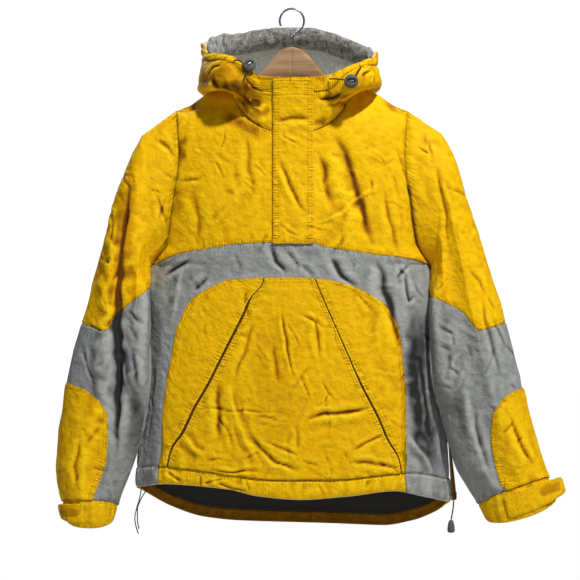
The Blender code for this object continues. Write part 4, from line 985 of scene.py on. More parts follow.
def add_node(tree, kind, output=None, inputs=(), **settings):
    """A node's output, or the node: its inputs are given as values or as other nodes' outputs."""
    made = tree.nodes.new(kind)
    for name, value in settings.items():
        setattr(made, name, value)
    for name, value in dict(inputs).items():
        if isinstance(value, bpy.types.NodeSocket):
            tree.links.new(value, made.inputs[name])
        else:
            made.inputs[name].default_value = value
    return made if output is None else made.outputs[output]


def add_noise(tree, scale, detail, stretch=None):
    """Noise over the object's own coordinates."""
    place = add_node(tree, "ShaderNodeTexCoord", "Object")
    if stretch:
        place = add_node(tree, "ShaderNodeMapping", "Vector", {"Vector": place, "Scale": stretch})
    return add_node(tree, "ShaderNodeTexNoise", "Fac", {"Vector": place, "Scale": scale, "Detail": detail})


def add_bump(tree, height, distance, strength, before=None):
    """A bump from a height, on top of another bump."""
    inputs = {"Height": height, "Distance": distance, "Strength": strength}
    if before is not None:
        inputs["Normal"] = before
    return add_node(tree, "ShaderNodeBump", "Normal", inputs)


def ramp_of(tree, value, low, high, stops):
    """Colours between stops, each given as its value and its colour."""
    share = add_node(tree, "ShaderNodeMapRange", "Result", {
        "Value": value, "From Min": low, "From Max": high})
    tones = add_node(tree, "ShaderNodeValToRGB", "Color", {"Fac": share})
    marks = tones.node.color_ramp.elements
    for spot, (at, colour) in enumerate(stops):
        place = (at - low) / (high - low)
        mark = marks[spot] if spot < 1 else marks.new(place) if spot < len(stops) - 1 else marks[-1]
        mark.position = place
        mark.color = (*colour, 1)
    return tones


def maths(tree, operation, one, two):
    """A sum or a product of two values, either of which may be a plain number."""
    return add_node(tree, "ShaderNodeMath", 0, {0: one, 1: two}, operation=operation)


def attribute_of(tree, name):
    """A value that a mesh carries at its points."""
    return add_node(tree, "ShaderNodeAttribute", "Fac", attribute_name=name)


def shell_finish(name, colour, shadow, deep, pale, cream, roughness):
    """Woven shell cloth: a weave, crinkles and ribs beside the sewing, with painted shade in the folds'
    hollows and on the low sides of ribs and crinkles, and painted highlight on their rises.
    """
    made, shader, tree = shader_of(name, colour, roughness)
    if shader is None:
        return made
    beside = add_node(tree, "ShaderNodeUVMap", "UV", uv_map="seam")
    stretched = add_node(tree, "ShaderNodeMapping", "Vector", {"Vector": beside, "Scale": (400, 36, 1)})
    ribs = add_node(tree, "ShaderNodeTexNoise", "Fac", {"Vector": stretched, "Scale": 1.0, "Detail": 1.5})
    gathered = maths(tree, "MULTIPLY", maths(tree, "SUBTRACT", ribs, 0.5), attribute_of(tree, "pucker"))
    crinkle = add_noise(tree, 85.0, 4.0)
    # Painted shade and highlight: the colour is darker in the relief's hollows and on the low sides of the
    # pucker ribs and crinkles, paler on their rises
    tone = maths(tree, "ADD", attribute_of(tree, "fold"), maths(tree, "MULTIPLY", gathered, 5.0))
    tone = maths(tree, "ADD", tone, maths(tree, "MULTIPLY", maths(tree, "SUBTRACT", crinkle, 0.5), 0.8))
    # Stops: painted shadow, painted shade in hollows, the cloth's own colour, painted highlight on rises, and
    # cream at the palest
    stops = ((-4.0, shadow), (-2.4, shadow), (-1.0, deep), (0.0, colour), (1.0, pale), (2.0, pale),
             (3.0, cream))
    tree.links.new(ramp_of(tree, tone, -4.0, 3.0, stops), shader.inputs["Base Color"])
    coarse = add_bump(tree, crinkle, 0.0036, 1.0)
    sewn = add_bump(tree, gathered, 0.0055, 1.0, coarse)
    fine = add_bump(tree, add_noise(tree, 620.0, 2.0), 0.00035, 0.7, sewn)
    tree.links.new(fine, shader.inputs["Normal"])
    return made


def fleece_finish(name, colour, deep):
    """Brushed fleece: a soft speckled pile, with painted shade in its folds' hollows, painted highlight on
    their rises, and any shade or light that a piece paints on.
    """
    made, shader, tree = shader_of(name, colour, 0.95)
    if shader is None:
        return made
    shader.inputs["Sheen Weight"].default_value = 0.35
    shader.inputs["Sheen Roughness"].default_value = 0.6
    speckle = maths(tree, "SUBTRACT", add_noise(tree, 260.0, 4.0), 0.5)
    # Painted shade and highlight from the fold value, and from the shade a piece paints on
    folds = maths(tree, "MULTIPLY", attribute_of(tree, "fold"), 0.3)
    tone = maths(tree, "ADD", maths(tree, "ADD", speckle, 0.4), folds)
    mixed = add_node(tree, "ShaderNodeMix", 2, {"Factor": tone, 6: (*deep, 1), 7: (*colour, 1)},
                     data_type="RGBA")
    tree.links.new(mixed, shader.inputs["Base Color"])
    tree.links.new(add_bump(tree, add_noise(tree, 320.0, 5.0), 0.0016, 0.9), shader.inputs["Normal"])
    return made


def wood_finish(colour):
    """Varnished beech with its grain along the arm."""
    made, shader, tree = shader_of("hanger_beech", colour, 0.42)
    if shader is None:
        return made
    shader.inputs["Coat Weight"].default_value = 0.25
    grain = add_noise(tree, 60.0, 6.0, (0.16, 1.0, 1.5))
    dark = [share * part for share, part in zip((0.62, 0.58, 0.54), colour)]
    pale = [share * part for share, part in zip((1.19, 1.28, 1.38), colour)]
    tree.links.new(ramp_of(tree, grain, 0.0, 1.0, ((0.32, dark), (0.68, pale))), shader.inputs["Base Color"])
    tree.links.new(add_bump(tree, grain, 0.0004, 0.3), shader.inputs["Normal"])
    return made


def plain_finish(name, colour, roughness, metallic=0.0, grain=None):
    """One colour, with a fine grain if a scale is given."""
    made, shader, tree = shader_of(name, colour, roughness, metallic)
    if shader is not None and grain:
        tree.links.new(add_bump(tree, add_noise(tree, grain, 3.0), 0.0003, 0.6), shader.inputs["Normal"])
    return made


# Shell cloth: its material, then its painted shadow tone, its painted shade in hollows, its painted highlight
# on rises, its cream for the palest marks (the hem's foot line and the brightest painted highlights on
# puckers), and its roughness
SHELLS = {
    "yellow_shell": ("yellow_cloth", (0.13, 0.045, 0.003), (0.57, 0.27, 0.003), (0.97, 0.63, 0.008),
                     (0.90, 0.72, 0.40), 0.62),
    "grey_shell": ("grey_cloth", (0.03, 0.03, 0.03), (0.17, 0.182, 0.182), (0.40, 0.42, 0.42),
                   (0.7, 0.7, 0.66), 0.62),
}
# Finishes of one colour: material, roughness, metal and the scale of their grain
PLAIN = {
    "dark_lining": ("dark_lining_cloth", 0.7, 0.0, 500.0),
    "dark_cord": ("dark_braid", 0.85, 0.0, 1400.0),
    "zip_tape": ("zip_tape_brown", 0.75, 0.0, 900.0),
    "plastic": ("grey_plastic", 0.38, 0.0, 260.0),
    "zip_metal": ("zip_metal_dark", 0.35, 0.9, None),
    # The thread's dark orange is partly painted shade: the real thread is the cloth's yellow, darkened to
    # stand for the shadow in its stitch holes and puckers
    "thread": ("thread_orange", 0.75, 0.0, None),
    "steel": ("hook_wire", 0.24, 1.0, None),
}


def finish_of(kind):
    """The finish for each slot of the garment, in the colour that the settings give it."""
    colour = tuple(getattr(bpy.context.scene.anorak, kind))
    if kind in SHELLS:
        name, *tones = SHELLS[kind]
        return shell_finish(name, colour, *tones)
    if kind in PLAIN:
        name, *look = PLAIN[kind]
        return plain_finish(name, colour, *look)
    if kind == "fleece":
        return fleece_finish("grey_fleece", colour, (0.10, 0.104, 0.104))
    return wood_finish(colour)


# ---------------------------------------------------------------- the torso's panels


def drawn_in(base, edges=("top", "foot", "left", "right"), by=SEAM / 2):
    """The grid with its edges drawn in, to leave a hair's gap at each seam."""
    base = base.copy()
    if "top" in edges:
        base[0] += unit(base[1] - base[0]) * by
    if "foot" in edges:
        base[-1] += unit(base[-2] - base[-1]) * by
    if "left" in edges:
        base[:, 0] += unit(base[:, 1] - base[:, 0]) * by
    if "right" in edges:
        base[:, -1] += unit(base[:, -2] - base[:, -1]) * by
    return base


def torso_panel(node, face, across, drop, kind, seams, seed, offset=0.0, ply=SHELL, extra=0.0, shade=0.0,
                word="cloth"):
    """A panel of the torso over a grid of across and drop, in place of its solid."""
    outward = torso_outward(face, across, drop)
    base = drawn_in(torso(face, across, drop) + outward * np.asarray(offset, float)[..., None])
    relief = torso_relief(face, across, drop) * bpy.context.scene.anorak.fold_depth + extra
    # On the front, painted shade darkens the colour where shadows fall and in hollows
    if face < 0:
        shade = shade + painted_shade_field(FRONT_PAINTED_SHADE, base[..., 0], drop)
    made = cloth(f"{node}_{word}", base, outward, relief, ply, finish_of(kind), seams=seams, seed=seed,
                 shade=shade)
    declare_cloth(made, kind, node)


def yoke_grid(face, side, seam, inner_edge, pitch=2.5):
    """Half a yoke: columns from the centre out to the armhole, rows from neck and shoulder down."""
    share = shares(190, pitch, end=False)
    down = shares(260, pitch)
    spot = share * YOKE_COLUMNS
    x = NECK_HALF_WIDTH * np.sin(pi / 2 * np.minimum(spot / NECK_COLUMNS, 1))
    first = NECK_HALF_WIDTH * sin(pi / 2 / NECK_COLUMNS)
    x = np.where(x < first, inner_edge + x * (first - inner_edge) / first, x)
    angle = np.degrees(np.arcsin(np.clip(x / NECK_HALF_WIDTH, 0, 1)))
    _, top_across, top_drop = neckline(side * (angle if face < 0 else 180 - angle))
    beyond = spot > NECK_COLUMNS
    shoulder_x = np.interp(spot, range(NECK_COLUMNS, YOKE_COLUMNS), SHOULDER_PLACES)
    shoulder = drop_of(SHOULDER_LINE, shoulder_x) + 0.3
    top_across = np.where(beyond, torso_across(side * shoulder_x, shoulder), top_across)
    top_drop = np.where(beyond, shoulder, top_drop)
    corner = np.clip(spot - (YOKE_COLUMNS - 1), 0, 1)
    top_across = top_across * (1 - corner) + side * corner
    top_drop = top_drop * (1 - corner) + armhole_drop(0) * corner
    foot_across = side * np.sin(pi / 2 * share)
    inner = torso_across(side * inner_edge, 380)
    one = side * sin(pi / 2 / YOKE_COLUMNS)
    foot_across = np.where(spot < 1, inner + (one - inner) * spot, foot_across)
    foot_x = torso(face, foot_across, UNDERARM)[..., 0]
    foot_drop = drop_of(seam, foot_x) - np.abs(foot_across) ** 8
    foot_drop = foot_drop * (1 - (share == 1)) + armhole_drop(1) * (share == 1)
    across = top_across + (foot_across - top_across) * down[:, None] ** 0.8
    drop = top_drop + (foot_drop - top_drop) * down[:, None]
    return across, drop


def band_grid(face, top_line, foot_line, pitch, span=(-1.0, 1.0), shrink=0.0, height=None):
    """A panel between two lines, from side seam to side seam or between two shares of it."""
    turns = [asin(share) for share in span]
    width = 480 * (sin(turns[1]) - sin(turns[0])) / 2 + 60 * (turns[1] - turns[0]) / pi
    turn = turns[0] + (turns[1] - turns[0]) * shares(width, pitch)
    across = np.sin(turn)
    top_x = torso(face, across, top_line[0][1])[..., 0]
    foot_x = torso(face, across, foot_line[0][1])[..., 0]
    top = drop_of(top_line, top_x) + shrink
    foot = drop_of(foot_line, foot_x) - shrink
    if top_line[0][1] == UNDERARM:
        top = top + np.abs(across) ** 8
    down = shares(height or float((foot - top).mean()), pitch)
    drop = top + (foot - top) * down[:, None]
    return np.broadcast_to(across, drop.shape), drop


def run_along(path, count=400):
    """Closely spaced places along a smooth line through a path's own places."""
    path = np.array(path, float)
    gone = np.concatenate([[0], np.cumsum(np.linalg.norm(np.diff(path, axis=0), axis=1))])
    at = np.linspace(0, gone[-1], count)
    return np.stack([smooth(gone, path[:, 0], at), smooth(gone, path[:, 1], at)], axis=-1)


def spaced(places, share):
    """Places at shares of a line's length."""
    gone = np.concatenate([[0], np.cumsum(np.linalg.norm(np.diff(places, axis=0), axis=1))])
    at = np.asarray(share) * gone[-1]
    return np.stack([np.interp(at, gone, places[:, part]) for part in (0, 1)], axis=-1)


def down_to_casing(path, gape=((0, 0.0), (1, 0.0)), way=1):
    """A pocket line moved across by half of its mouth's opening and cut off at the casing seam."""
    places = run_along(path)
    places[:, 0] += way * drop_of(gape, places[:, 1])
    return places[places[:, 1] < drop_of(CASING_SEAM, places[:, 0]) - 0.4]


def spanned(left, right, top, foot, across, down):
    """A grid of places between four lines, each given as a function of its share."""
    left_side, right_side = left(down)[:, None], right(down)[:, None]
    top_side, foot_side = top(across)[None], foot(across)[None]
    u, v = across[None, :, None], down[:, None, None]
    corners = ((1 - u) * (1 - v) * left_side[:1] + u * (1 - v) * right_side[:1]
               + (1 - u) * v * left_side[-1:] + u * v * right_side[-1:])
    return (1 - u) * left_side + u * right_side + (1 - v) * top_side + v * foot_side - corners


def inside_arch(x, drop):
    """1 under the arched pocket and 0 outside it."""
    right, left = np.array(ARCH_RIGHT), np.array(ARCH_LEFT)
    right_x = np.interp(drop, right[:, 1], right[:, 0])
    left_x = np.interp(drop, left[:, 1], left[:, 0])
    return (step_up(0, 5, x - right_x) * step_up(0, 5, left_x - x)
            * step_up(0, 5, drop - drop_of(ARCH_TOP, x)))


def make_front_yokes():
    """The two halves of the front yoke and the zip strip between them."""
    for side, word, seed in ((-1, "right", 100), (1, "left", 200)):
        across, drop = yoke_grid(-1, side, YOKE_SEAM, ZIP_HALF_WIDTH + SEAM)
        base = torso(-1, across, drop)
        # Below mid-chest the left armhole's seam sinks, and the same strip is painted dark: painted shade in
        # the gap to the sleeve
        sunk = np.exp(-(measure(base)["right"] / 4.5) ** 2) * step_up(272, 300, drop) * (side > 0)
        torso_panel(f"front_yoke_{word}", -1, across, drop, "yellow_shell", SEAMS["front_yoke"], seed,
                    extra=-ARMHOLE_SINK * sunk, shade=-2.4 * sunk)
    drop = np.linspace(NECK_FRONT_DROP + 0.6, ZIP_FOOT, 60)[:, None] + np.zeros(9)
    across = torso_across(np.linspace(-ZIP_HALF_WIDTH, ZIP_HALF_WIDTH, 9) + np.zeros((60, 1)), drop)
    torso_panel("front_zip", -1, across, drop, "zip_tape", {}, 5, offset=-ZIP_SUNK, ply=FRONT_TAPE,
                word="tape")


def make_band():
    """The grey front panel: the band under the yoke and what runs down behind the pocket."""
    across, drop = band_grid(-1, YOKE_SEAM, CASING_SEAM, 2.7)
    sunk = -POCKET_SINK * inside_arch(torso(-1, across, drop)[..., 0], drop)
    torso_panel("front_lower", -1, across, drop, "grey_shell", SEAMS["front_lower"], 300, extra=sunk)


def make_pocket():
    """The arched pocket's centre and its two side pieces, with the slanted mouths between them."""
    right_mouth = down_to_casing(MOUTH_RIGHT, RIGHT_GAPE, 1)
    left_mouth = down_to_casing(MOUTH_LEFT, LEFT_GAPE, -1)
    top = run_along(((right_mouth[0][0], 436.0),) + ARCH_TOP[1:-1] + ((left_mouth[0][0], 438.0),))
    foot = np.linspace(right_mouth[-1][0], left_mouth[-1][0], 300)
    foot = np.stack([foot, drop_of(CASING_SEAM, foot) - 0.4], axis=-1)
    places = spanned(*[lambda share, line=line: spaced(line, share)
                       for line in (right_mouth, left_mouth, top, foot)],
                     shares(290, 2.5), shares(320, 2.6))
    x, drop = places[..., 0], places[..., 1]
    # The centre's edges at both mouths are painted paler: a painted highlight along their rolled edges
    mouth_edge_highlight = np.zeros(x.shape)
    mouth_edge_highlight[:, 1:3] = mouth_edge_highlight[:, -3:-1] = 1.6
    torso_panel("pocket_centre", -1, torso_across(x, drop), drop, "yellow_shell", SEAMS["pocket_centre"], 400,
                offset=SEAM + POCKET_PLY + POCKET_PROUD, ply=SEWN_ON, shade=mouth_edge_highlight)
    for side, word, arch, mouth, gape in ((-1, "right", ARCH_RIGHT, MOUTH_RIGHT, RIGHT_GAPE),
                                          (1, "left", ARCH_LEFT, MOUTH_LEFT, LEFT_GAPE)):
        down = shares(330, 2.6)
        start = spaced(down_to_casing(arch), down)[:, None]
        end = spaced(down_to_casing(mouth, gape, side), down)[:, None]
        share = shares(84, 2.4)[None, :, None]
        places = start * (1 - share) + end * share
        tuck = np.array(TURNED_UNDER)
        under = end + np.stack([-side * tuck, 0 * tuck], axis=-1)[None]
        places = np.concatenate([places, under], axis=1)
        x, drop = places[..., 0], places[..., 1]
        columns = share.shape[1]
        sink = np.concatenate([np.zeros(columns), TURNED_DOWN])
        ply = np.concatenate([np.full(columns, SEWN_ON), np.full(len(tuck), TURNED_PLY)])
        gone = np.linalg.norm((end - start)[:, 0], axis=-1)[:, None] * (1 - share[..., 0])
        gone = np.concatenate([gone, np.zeros((len(gone), len(tuck)))], axis=1)
        along = np.linspace(0, 330, len(gone))[:, None] + np.zeros_like(gone)
        # Painted shade: the part turned under the mouth is painted near black, the shadow inside the open
        # mouth; a painted highlight runs along the mouth's edge
        shade = np.where(np.arange(x.shape[1]) < columns, 0.0, -4.0) + 1.2 * (np.abs(gone - 1.4) < 0.8)
        torso_panel(f"pocket_side_{word}", -1, torso_across(x, drop), drop, "yellow_shell",
                    {**SEAMS["pocket_side"], "mouth": (gone, along, MOUTH_HEM)}, 440 + 10 * side,
                    offset=SEAM + POCKET_PLY - sink + np.zeros_like(x), ply=ply, shade=shade)


def make_casing():
    """The front hem's casing: the yellow middle and the grey length at each side."""
    for word, span, kind, seed in (("side_right", (-1.0, -0.851), "grey_shell", 500),
                                   ("front", (-0.85, 0.704), "yellow_shell", 530),
                                   ("side_left", (0.705, 1.0), "grey_shell", 560)):
        across, drop = band_grid(-1, CASING_SEAM, FRONT_HEM, 2.2, span, height=CASING_HEIGHT)
        points = torso(-1, across, drop)
        down = shares(CASING_HEIGHT, 2.2)[:, None]
        puff = CASING_PUFF * np.sin(pi * down) ** 0.7
        gathers = CASING_GATHERS * noise(points[..., 0], points[..., 2] * 0.3, 0, 9.5, 77)
        # The casing is painted paler in two lines: cream along the hem's foot and a paler line along the
        # ridge under the casing seam
        pale_hem_lines = np.zeros(drop.shape)
        pale_hem_lines[-2:], pale_hem_lines[2:4] = 3.5, 1.4
        torso_panel(f"hem_casing_{word}", -1, across, drop, kind, SEAMS["hem_casing"], seed,
                    extra=puff + gathers * np.sin(pi * down) ** 0.5, ply=PADDED, shade=pale_hem_lines)


def make_flap():
    """The storm flap over the zip, from the collar's edge to the yoke seam."""
    across = shares(FLAP_WIDTH, 1.7)
    down = shares(FLAP_HEIGHT, 1.9)
    x = FLAP_SIDE + FLAP_WIDTH * across + np.zeros((len(down), 1))
    drop = FLAP_TOP + FLAP_HEIGHT * down[:, None] + np.zeros(len(across))
    shifted = torso_across(x, drop)
    base = torso(-1, shifted, drop)
    outward = torso_outward(-1, shifted, drop)
    hoods = np.array(HOOD, float)[::-1]
    collar = np.stack([x, smooth(hoods[:, 5], hoods[:, 1], drop), -drop], axis=-1)
    below = step_up(196, 216, drop)[..., None]
    base = collar * (1 - below) + base * below
    outward = unit(np.array([0, -1.0, 0]) * (1 - below) + outward * below)
    base = base + outward * (FLAP_GAP + FLAP_PLY)
    relief = torso_relief(-1, shifted, drop) * bpy.context.scene.anorak.fold_depth
    for line in FLAP_CREASES:
        across_flap = step_up(-22, -16, x) * step_up(-30, -24, -x)
        wave = drop + 1.3 * noise(x, line, 0, 22, 9)
        relief = relief - CREASE_DEPTH * np.exp(-((wave - line) / 1.5) ** 2) * across_flap
    ropes = noise(drop * 1.0, x * 0.25, 3, 5.2, 61)
    beside = np.exp(-((x + 15) / 5) ** 2) + 0.9 * np.exp(-((x - 17) / 5) ** 2)
    relief = relief + 0.75 * ropes * beside
    made = cloth("storm_flap_cloth", base, outward, relief, SHELL, finish_of("yellow_shell"),
                 seams=SEAMS["storm_flap"], seed=600)
    declare_cloth(made, "yellow_shell", "storm_flap")


def make_back():
    """The back's yoke, band and lower panel with its dropped tail."""
    halves = [yoke_grid(1, side, BACK_BAND_TOP, 0.0, 4.0) for side in (-1, 1)]
    grid = [np.concatenate([first[:, ::-1], second[:, 1:]], axis=1) for first, second in zip(*halves)]
    torso_panel("back_yoke", 1, *grid, "yellow_shell", SEAMS["back_yoke"], 700)
    torso_panel("back_band", 1, *band_grid(1, BACK_BAND_TOP, BACK_BAND_FOOT, 3.6), "grey_shell",
                SEAMS["back_band"], 730)
    torso_panel("back_lower", 1, *band_grid(1, BACK_BAND_FOOT, BACK_HEM, 3.6), "yellow_shell",
                SEAMS["back_lower"], 760)


def make_lining():
    """The lining and the hem's facing, which show below the front."""
    facing_top = tuple((x, drop - FACING_HEIGHT) for x, drop in BACK_HEM)
    lining_top = tuple((x, LINING_TOP) for x, _ in BACK_HEM)
    inside = -(WALL + LINING_GAP)
    span = (-0.988, 0.988)
    torso_panel("back_lining", 1, *band_grid(1, lining_top, facing_top, 5.0, span), "dark_lining",
                SEAMS["back_lining"], 800, offset=inside, ply=LINING)
    grid = band_grid(1, facing_top, BACK_HEM, 2.6, span, shrink=0.5, height=FACING_HEIGHT)
    # The facing is painted dark (shade -2.0): painted shadow, as the front hem shades it
    torso_panel("back_facing", 1, *grid, "yellow_shell", SEAMS["back_facing"], 830, offset=inside, ply=LINING,
                shade=-2.0)


# ---------------------------------------------------------------- the hood


def hood_raw(along, angle):
    """The hood's outside before it is lifted clear of the shoulders: x, y and drop."""
    turn = np.abs((angle + 180) % 360 - 180)
    half, y_front, y_pouch, y_side, y_back, front, right, left, side, back = [
        smooth(range(len(HOOD)), column, along) for column in zip(*HOOD)]
    pouch = np.where(angle % 360 < 180, smooth(HOOD_STATIONS, (front, front, left, side, back), turn),
                     smooth(HOOD_STATIONS, (front, front, right, side, back), turn))
    y = smooth(HOOD_STATIONS, (y_front, y_front, y_pouch, y_side, y_back), turn)
    behind = turn > 90
    lean = np.cos(np.radians(turn))
    y = np.where(behind, y_side + (y_back - y_side) * np.abs(lean) ** 0.9, y)
    drop = np.where(behind, side + (back - side) * lean ** 2, pouch)
    across = np.sin(np.radians(angle))
    half = half * (1 - 0.045 * step_up(2.5, 5.0, along) * (across > 0))
    drop = drop + 6.0 * step_up(5.0, 6.0, along) * np.abs(across) ** 6
    rise = np.where(behind, 12.5 * step_up(0.55, 0.92, -across) + 2.5 * step_up(0.2, 0.5, -across),
                    15.0 * step_up(0.93, 1.0, -across))
    drop = drop - rise * step_up(4.4, 6.0, along)
    return np.stack([half * across, y, drop], axis=-1)


def hood_hoops():
    """The hood's hoops from the neck seam to the face edge, clear of the yokes and with folds eased."""
    angle = np.arange(HOOD_COLUMNS) * 360 / HOOD_COLUMNS
    hoops = []
    for row in range(HOOD_ROWS + 1):
        along = (len(HOOD) - 1) * row / HOOD_ROWS
        spot = hood_raw(along, angle)
        if along < NECK_JOIN:
            face, across, drop = neckline(angle)
            seam = torso(face, across, drop) + torso_outward(face, across, drop) * 0.6
            lift = NECK_LIFT + NECK_SIDE_LIFT * np.abs(np.sin(np.radians(angle))) ** 6
            seam = np.stack([seam[..., 0], seam[..., 1], -seam[..., 2] - lift], axis=-1)
            spot = spot + (seam - hood_raw(0, angle)) * (1 - along / NECK_JOIN) ** 2
        turn = np.abs((angle + 180) % 360 - 180)
        clear = YOKE_CLEARANCE * np.clip((turn - 20) / 25, 0, 1)
        if along > 0.15:
            for _ in range(60):
                face = np.where(spot[:, 1] < 0, -1, 1)
                surface = torso(face, torso_across(spot[:, 0], spot[:, 2]), spot[:, 2])[:, 1]
                above = drop_of(SHOULDER_LINE, np.abs(spot[:, 0])) - clear > spot[:, 2]
                free = above | (np.abs(spot[:, 1]) > np.abs(surface) + clear) | (clear <= 0)
                spot[:, 2] -= ~free
        hoops.append(spot * np.array([1, 1, -1]))
    hoops = np.array(hoops)
    for _ in range(2):
        for row in range(1, HOOD_ROWS):
            hoops[row] = hoops[row] * 0.5 + (hoops[row - 1] + hoops[row + 1]) * 0.25
    return hoops


def finer(grid, rows, columns):
    """A grid through the same points with that many times the rows and columns, joined round."""

    def weights(t):
        return (-0.5 * t + t ** 2 - 0.5 * t ** 3, 1 - 2.5 * t ** 2 + 1.5 * t ** 3,
                0.5 * t + 2 * t ** 2 - 1.5 * t ** 3, -0.5 * t ** 2 + 0.5 * t ** 3)

    count = grid.shape[1]
    at = np.arange(count * columns) / columns
    spot = np.floor(at).astype(int)
    wide = sum(weight[None, :, None] * grid[:, (spot - 1 + step) % count]
               for step, weight in enumerate(weights(at - spot)))
    ends = np.concatenate([2 * wide[:1] - wide[1:2], wide, 2 * wide[-1:] - wide[-2:-1]])
    at = np.arange((len(grid) - 1) * rows + 1) / rows
    spot = np.minimum(np.floor(at).astype(int), len(grid) - 2)
    return sum(weight[:, None, None] * ends[spot + step] for step, weight in enumerate(weights(at - spot)))


def hood_place(hoops, x, drop):
    """The place on the hood's front nearest to x and a drop, with the way it faces."""
    before = np.concatenate([hoops[:1], hoops[:-1]])
    after = np.concatenate([hoops[1:], hoops[-1:]])
    ways = unit(np.cross(after - before, np.roll(hoops, -1, axis=1) - np.roll(hoops, 1, axis=1)))
    if ways[5, 0, 1] > 0:
        ways = -ways
    best = None
    for row in range(6, HOOD_ROWS):
        for column in range(1, 6):
            turned = column if x > 0 else -column
            for up in np.linspace(0, 1, 5):
                for along in np.linspace(0, 1, 5):
                    parts = [((1 - up) * (1 - along), row, turned), ((1 - up) * along, row, turned + 1),
                             (up * (1 - along), row + 1, turned), (up * along, row + 1, turned + 1)]
                    point = sum(share * hoops[r, c] for share, r, c in parts)
                    miss = (point[0] - x) ** 2 + (point[2] + drop) ** 2
                    if best is None or miss < best[0]:
                        best = (miss, point, sum(share * ways[r, c] for share, r, c in parts))
    return best[1], unit(best[2])


def hood_form():
    """The hood's fine grid, the way it faces, its relief and the shade painted on its front where shadows
    fall.
    """
    hoops = hood_hoops()
    base = finer(hoops, FINE_ROWS, FINE_COLUMNS)
    outward = grid_normals(base, closed=True)
    if outward[40, 0, 1] > 0:
        outward = -outward
    x, drop = base[..., 0], -base[..., 2]
    size = measure(base, closed=True)
    front = step_up(0.0, 0.5, -outward[..., 1])
    back = step_up(0.0, 0.5, outward[..., 1])
    relief = front * fold_field(HOOD_FOLDS, x, drop) + 0.7 * back * fold_field(HOOD_BACK_FOLDS, x, drop)
    relief = relief + 1.5 * crumple(base, 60)
    rim = size["foot"]
    wave = noise(size["left"] + 3 * noise(size["left"], rim, 0, 20, 4), rim * 0.22, 0, 9.5, 66)
    relief = relief - CHANNEL_VALLEY * np.exp(-((rim - CHANNEL) / 1.7) ** 2)
    relief = relief - STITCH_DRAW * np.exp(-((rim - RIM_ROW) / 1.0) ** 2)
    for spot, depth, wide, high in HOOD_HOLLOWS:
        under = np.exp(-((x - spot) / wide) ** 4 - ((drop - 160) / high) ** 2) * (base[..., 1] < -20)
        relief = relief - depth * under
    sagging = step_up(-104, -132, x) * step_up(0.1, 0.8, -outward[..., 2]) * step_up(95, 125, drop)
    relief = relief + HOOD_SAG * sagging
    relief = relief + RIM_PUFF * np.sin(pi * np.clip(rim / CHANNEL, 0, 1))
    relief = relief + RIM_WAVES * wave * step_up(44, 20, rim)
    relief = relief * step_up(0, 14, size["top"]) - 0.8 * np.exp(-(size["top"] / 2.5) ** 2)
    for lock_x, lock_drop, *_ in LOCKS.values():
        point, _ = hood_place(hoops, lock_x, lock_drop)
        near = np.exp(-(np.linalg.norm(base - point, axis=-1) / 15) ** 2)
        relief = relief * (1 - near)
    collar = step_up(58, 44, np.abs(x)) * step_up(-20, -45, base[..., 1])
    across = torso_across(x, drop)
    with_flap = torso_relief(-1, across, drop) - 0.4
    relief = relief * (1 - collar) + np.minimum(with_flap, relief + 0.8) * collar
    # The last value is painted shade: the hood's front darkened where shadows fall under its pouches
    return hoops, base, outward, relief, painted_shade_field(HOOD_PAINTED_SHADE, x, drop) * front


def make_hood():
    """The hood's shell, its fleece lining and the fleece rolled over at the back of the opening."""
    _, base, outward, relief, shade = hood_form()
    size = measure(base, closed=True)
    rim, round_it = size["foot"], size["left"]
    seams = {"channel": (np.abs(rim - CHANNEL), round_it, CHANNEL_SEAM), "rim": (rim, round_it, RIM_EDGE),
             "top": HOOD_NECK}
    made = cloth("hood_shell_cloth", base, outward, relief, SHELL + 1.2 * step_up(7, 1, rim),
                 finish_of("yellow_shell"), closed=True, seams=seams, seed=640, shade=shade)
    declare_cloth(made, "yellow_shell", "hood_shell")
    inner = slice(FINE_ROWS, -1)
    pile = 0.35 * noise(base[..., 0], base[..., 1], base[..., 2], 5, 71)
    # The lining is painted paler (shade 1.5): painted light standing for the light that reaches the inside of
    # the hood
    lining = cloth("hood_lining_fleece", (base - outward * (WALL + LINING_GAP))[inner], outward[inner],
                   (relief + pile)[inner], SHELL, finish_of("fleece"), closed=True, shade=1.5)
    declare_cloth(lining, "fleece", "hood_lining")
    make_roll(base, outward)


def make_roll(base, outward):
    """The face edge's fleece, rolled over inside the back of the opening."""
    rings, ways = [], []
    turn = np.arange(40) * 2 * pi / 40
    for column in range(ROLL_START, ROLL_END + 1):
        share = (column - ROLL_START) / (ROLL_END - ROLL_START)
        taper = np.sqrt(max(0.02, min(1.0, 5.5 * share, 11.0 * (1 - share))))
        rim, inward = base[-1, column], -outward[-1, column]
        rise = unit(rim - base[-10, column])
        high, deep = ROLL_HIGH * taper, ROLL_DEEP * taper
        middle = rim + inward * (WALL + SEAM + FLEECE_PLY + ROLL_GAP + deep) + rise * (9.0 * taper - high)
        lump = 1 + 0.10 * noise(column * 4.0, turn * 14, 0, 26, 81)
        ring = (middle + np.outer(np.cos(turn) * lump, rise) * high
                + np.outer(np.sin(turn) * lump, inward) * deep)
        rings.append(ring)
        ways.append(unit(ring - middle))
    rings, ways = np.array(rings), np.array(ways)
    x, y, z = rings.transpose(2, 0, 1)
    pile = 0.8 * noise(x, y, z, 6.5, 82) + 0.4 * noise(x, y, z, 3.2, 83)
    # The roll is painted darker (shade -0.6): painted shade under the hood's rim
    made = cloth("hood_roll_fleece", rings, ways, pile, ROLL, finish_of("fleece"), closed=True, shade=-0.6)
    declare_cloth(made, "fleece", "hood_roll", held="folded")


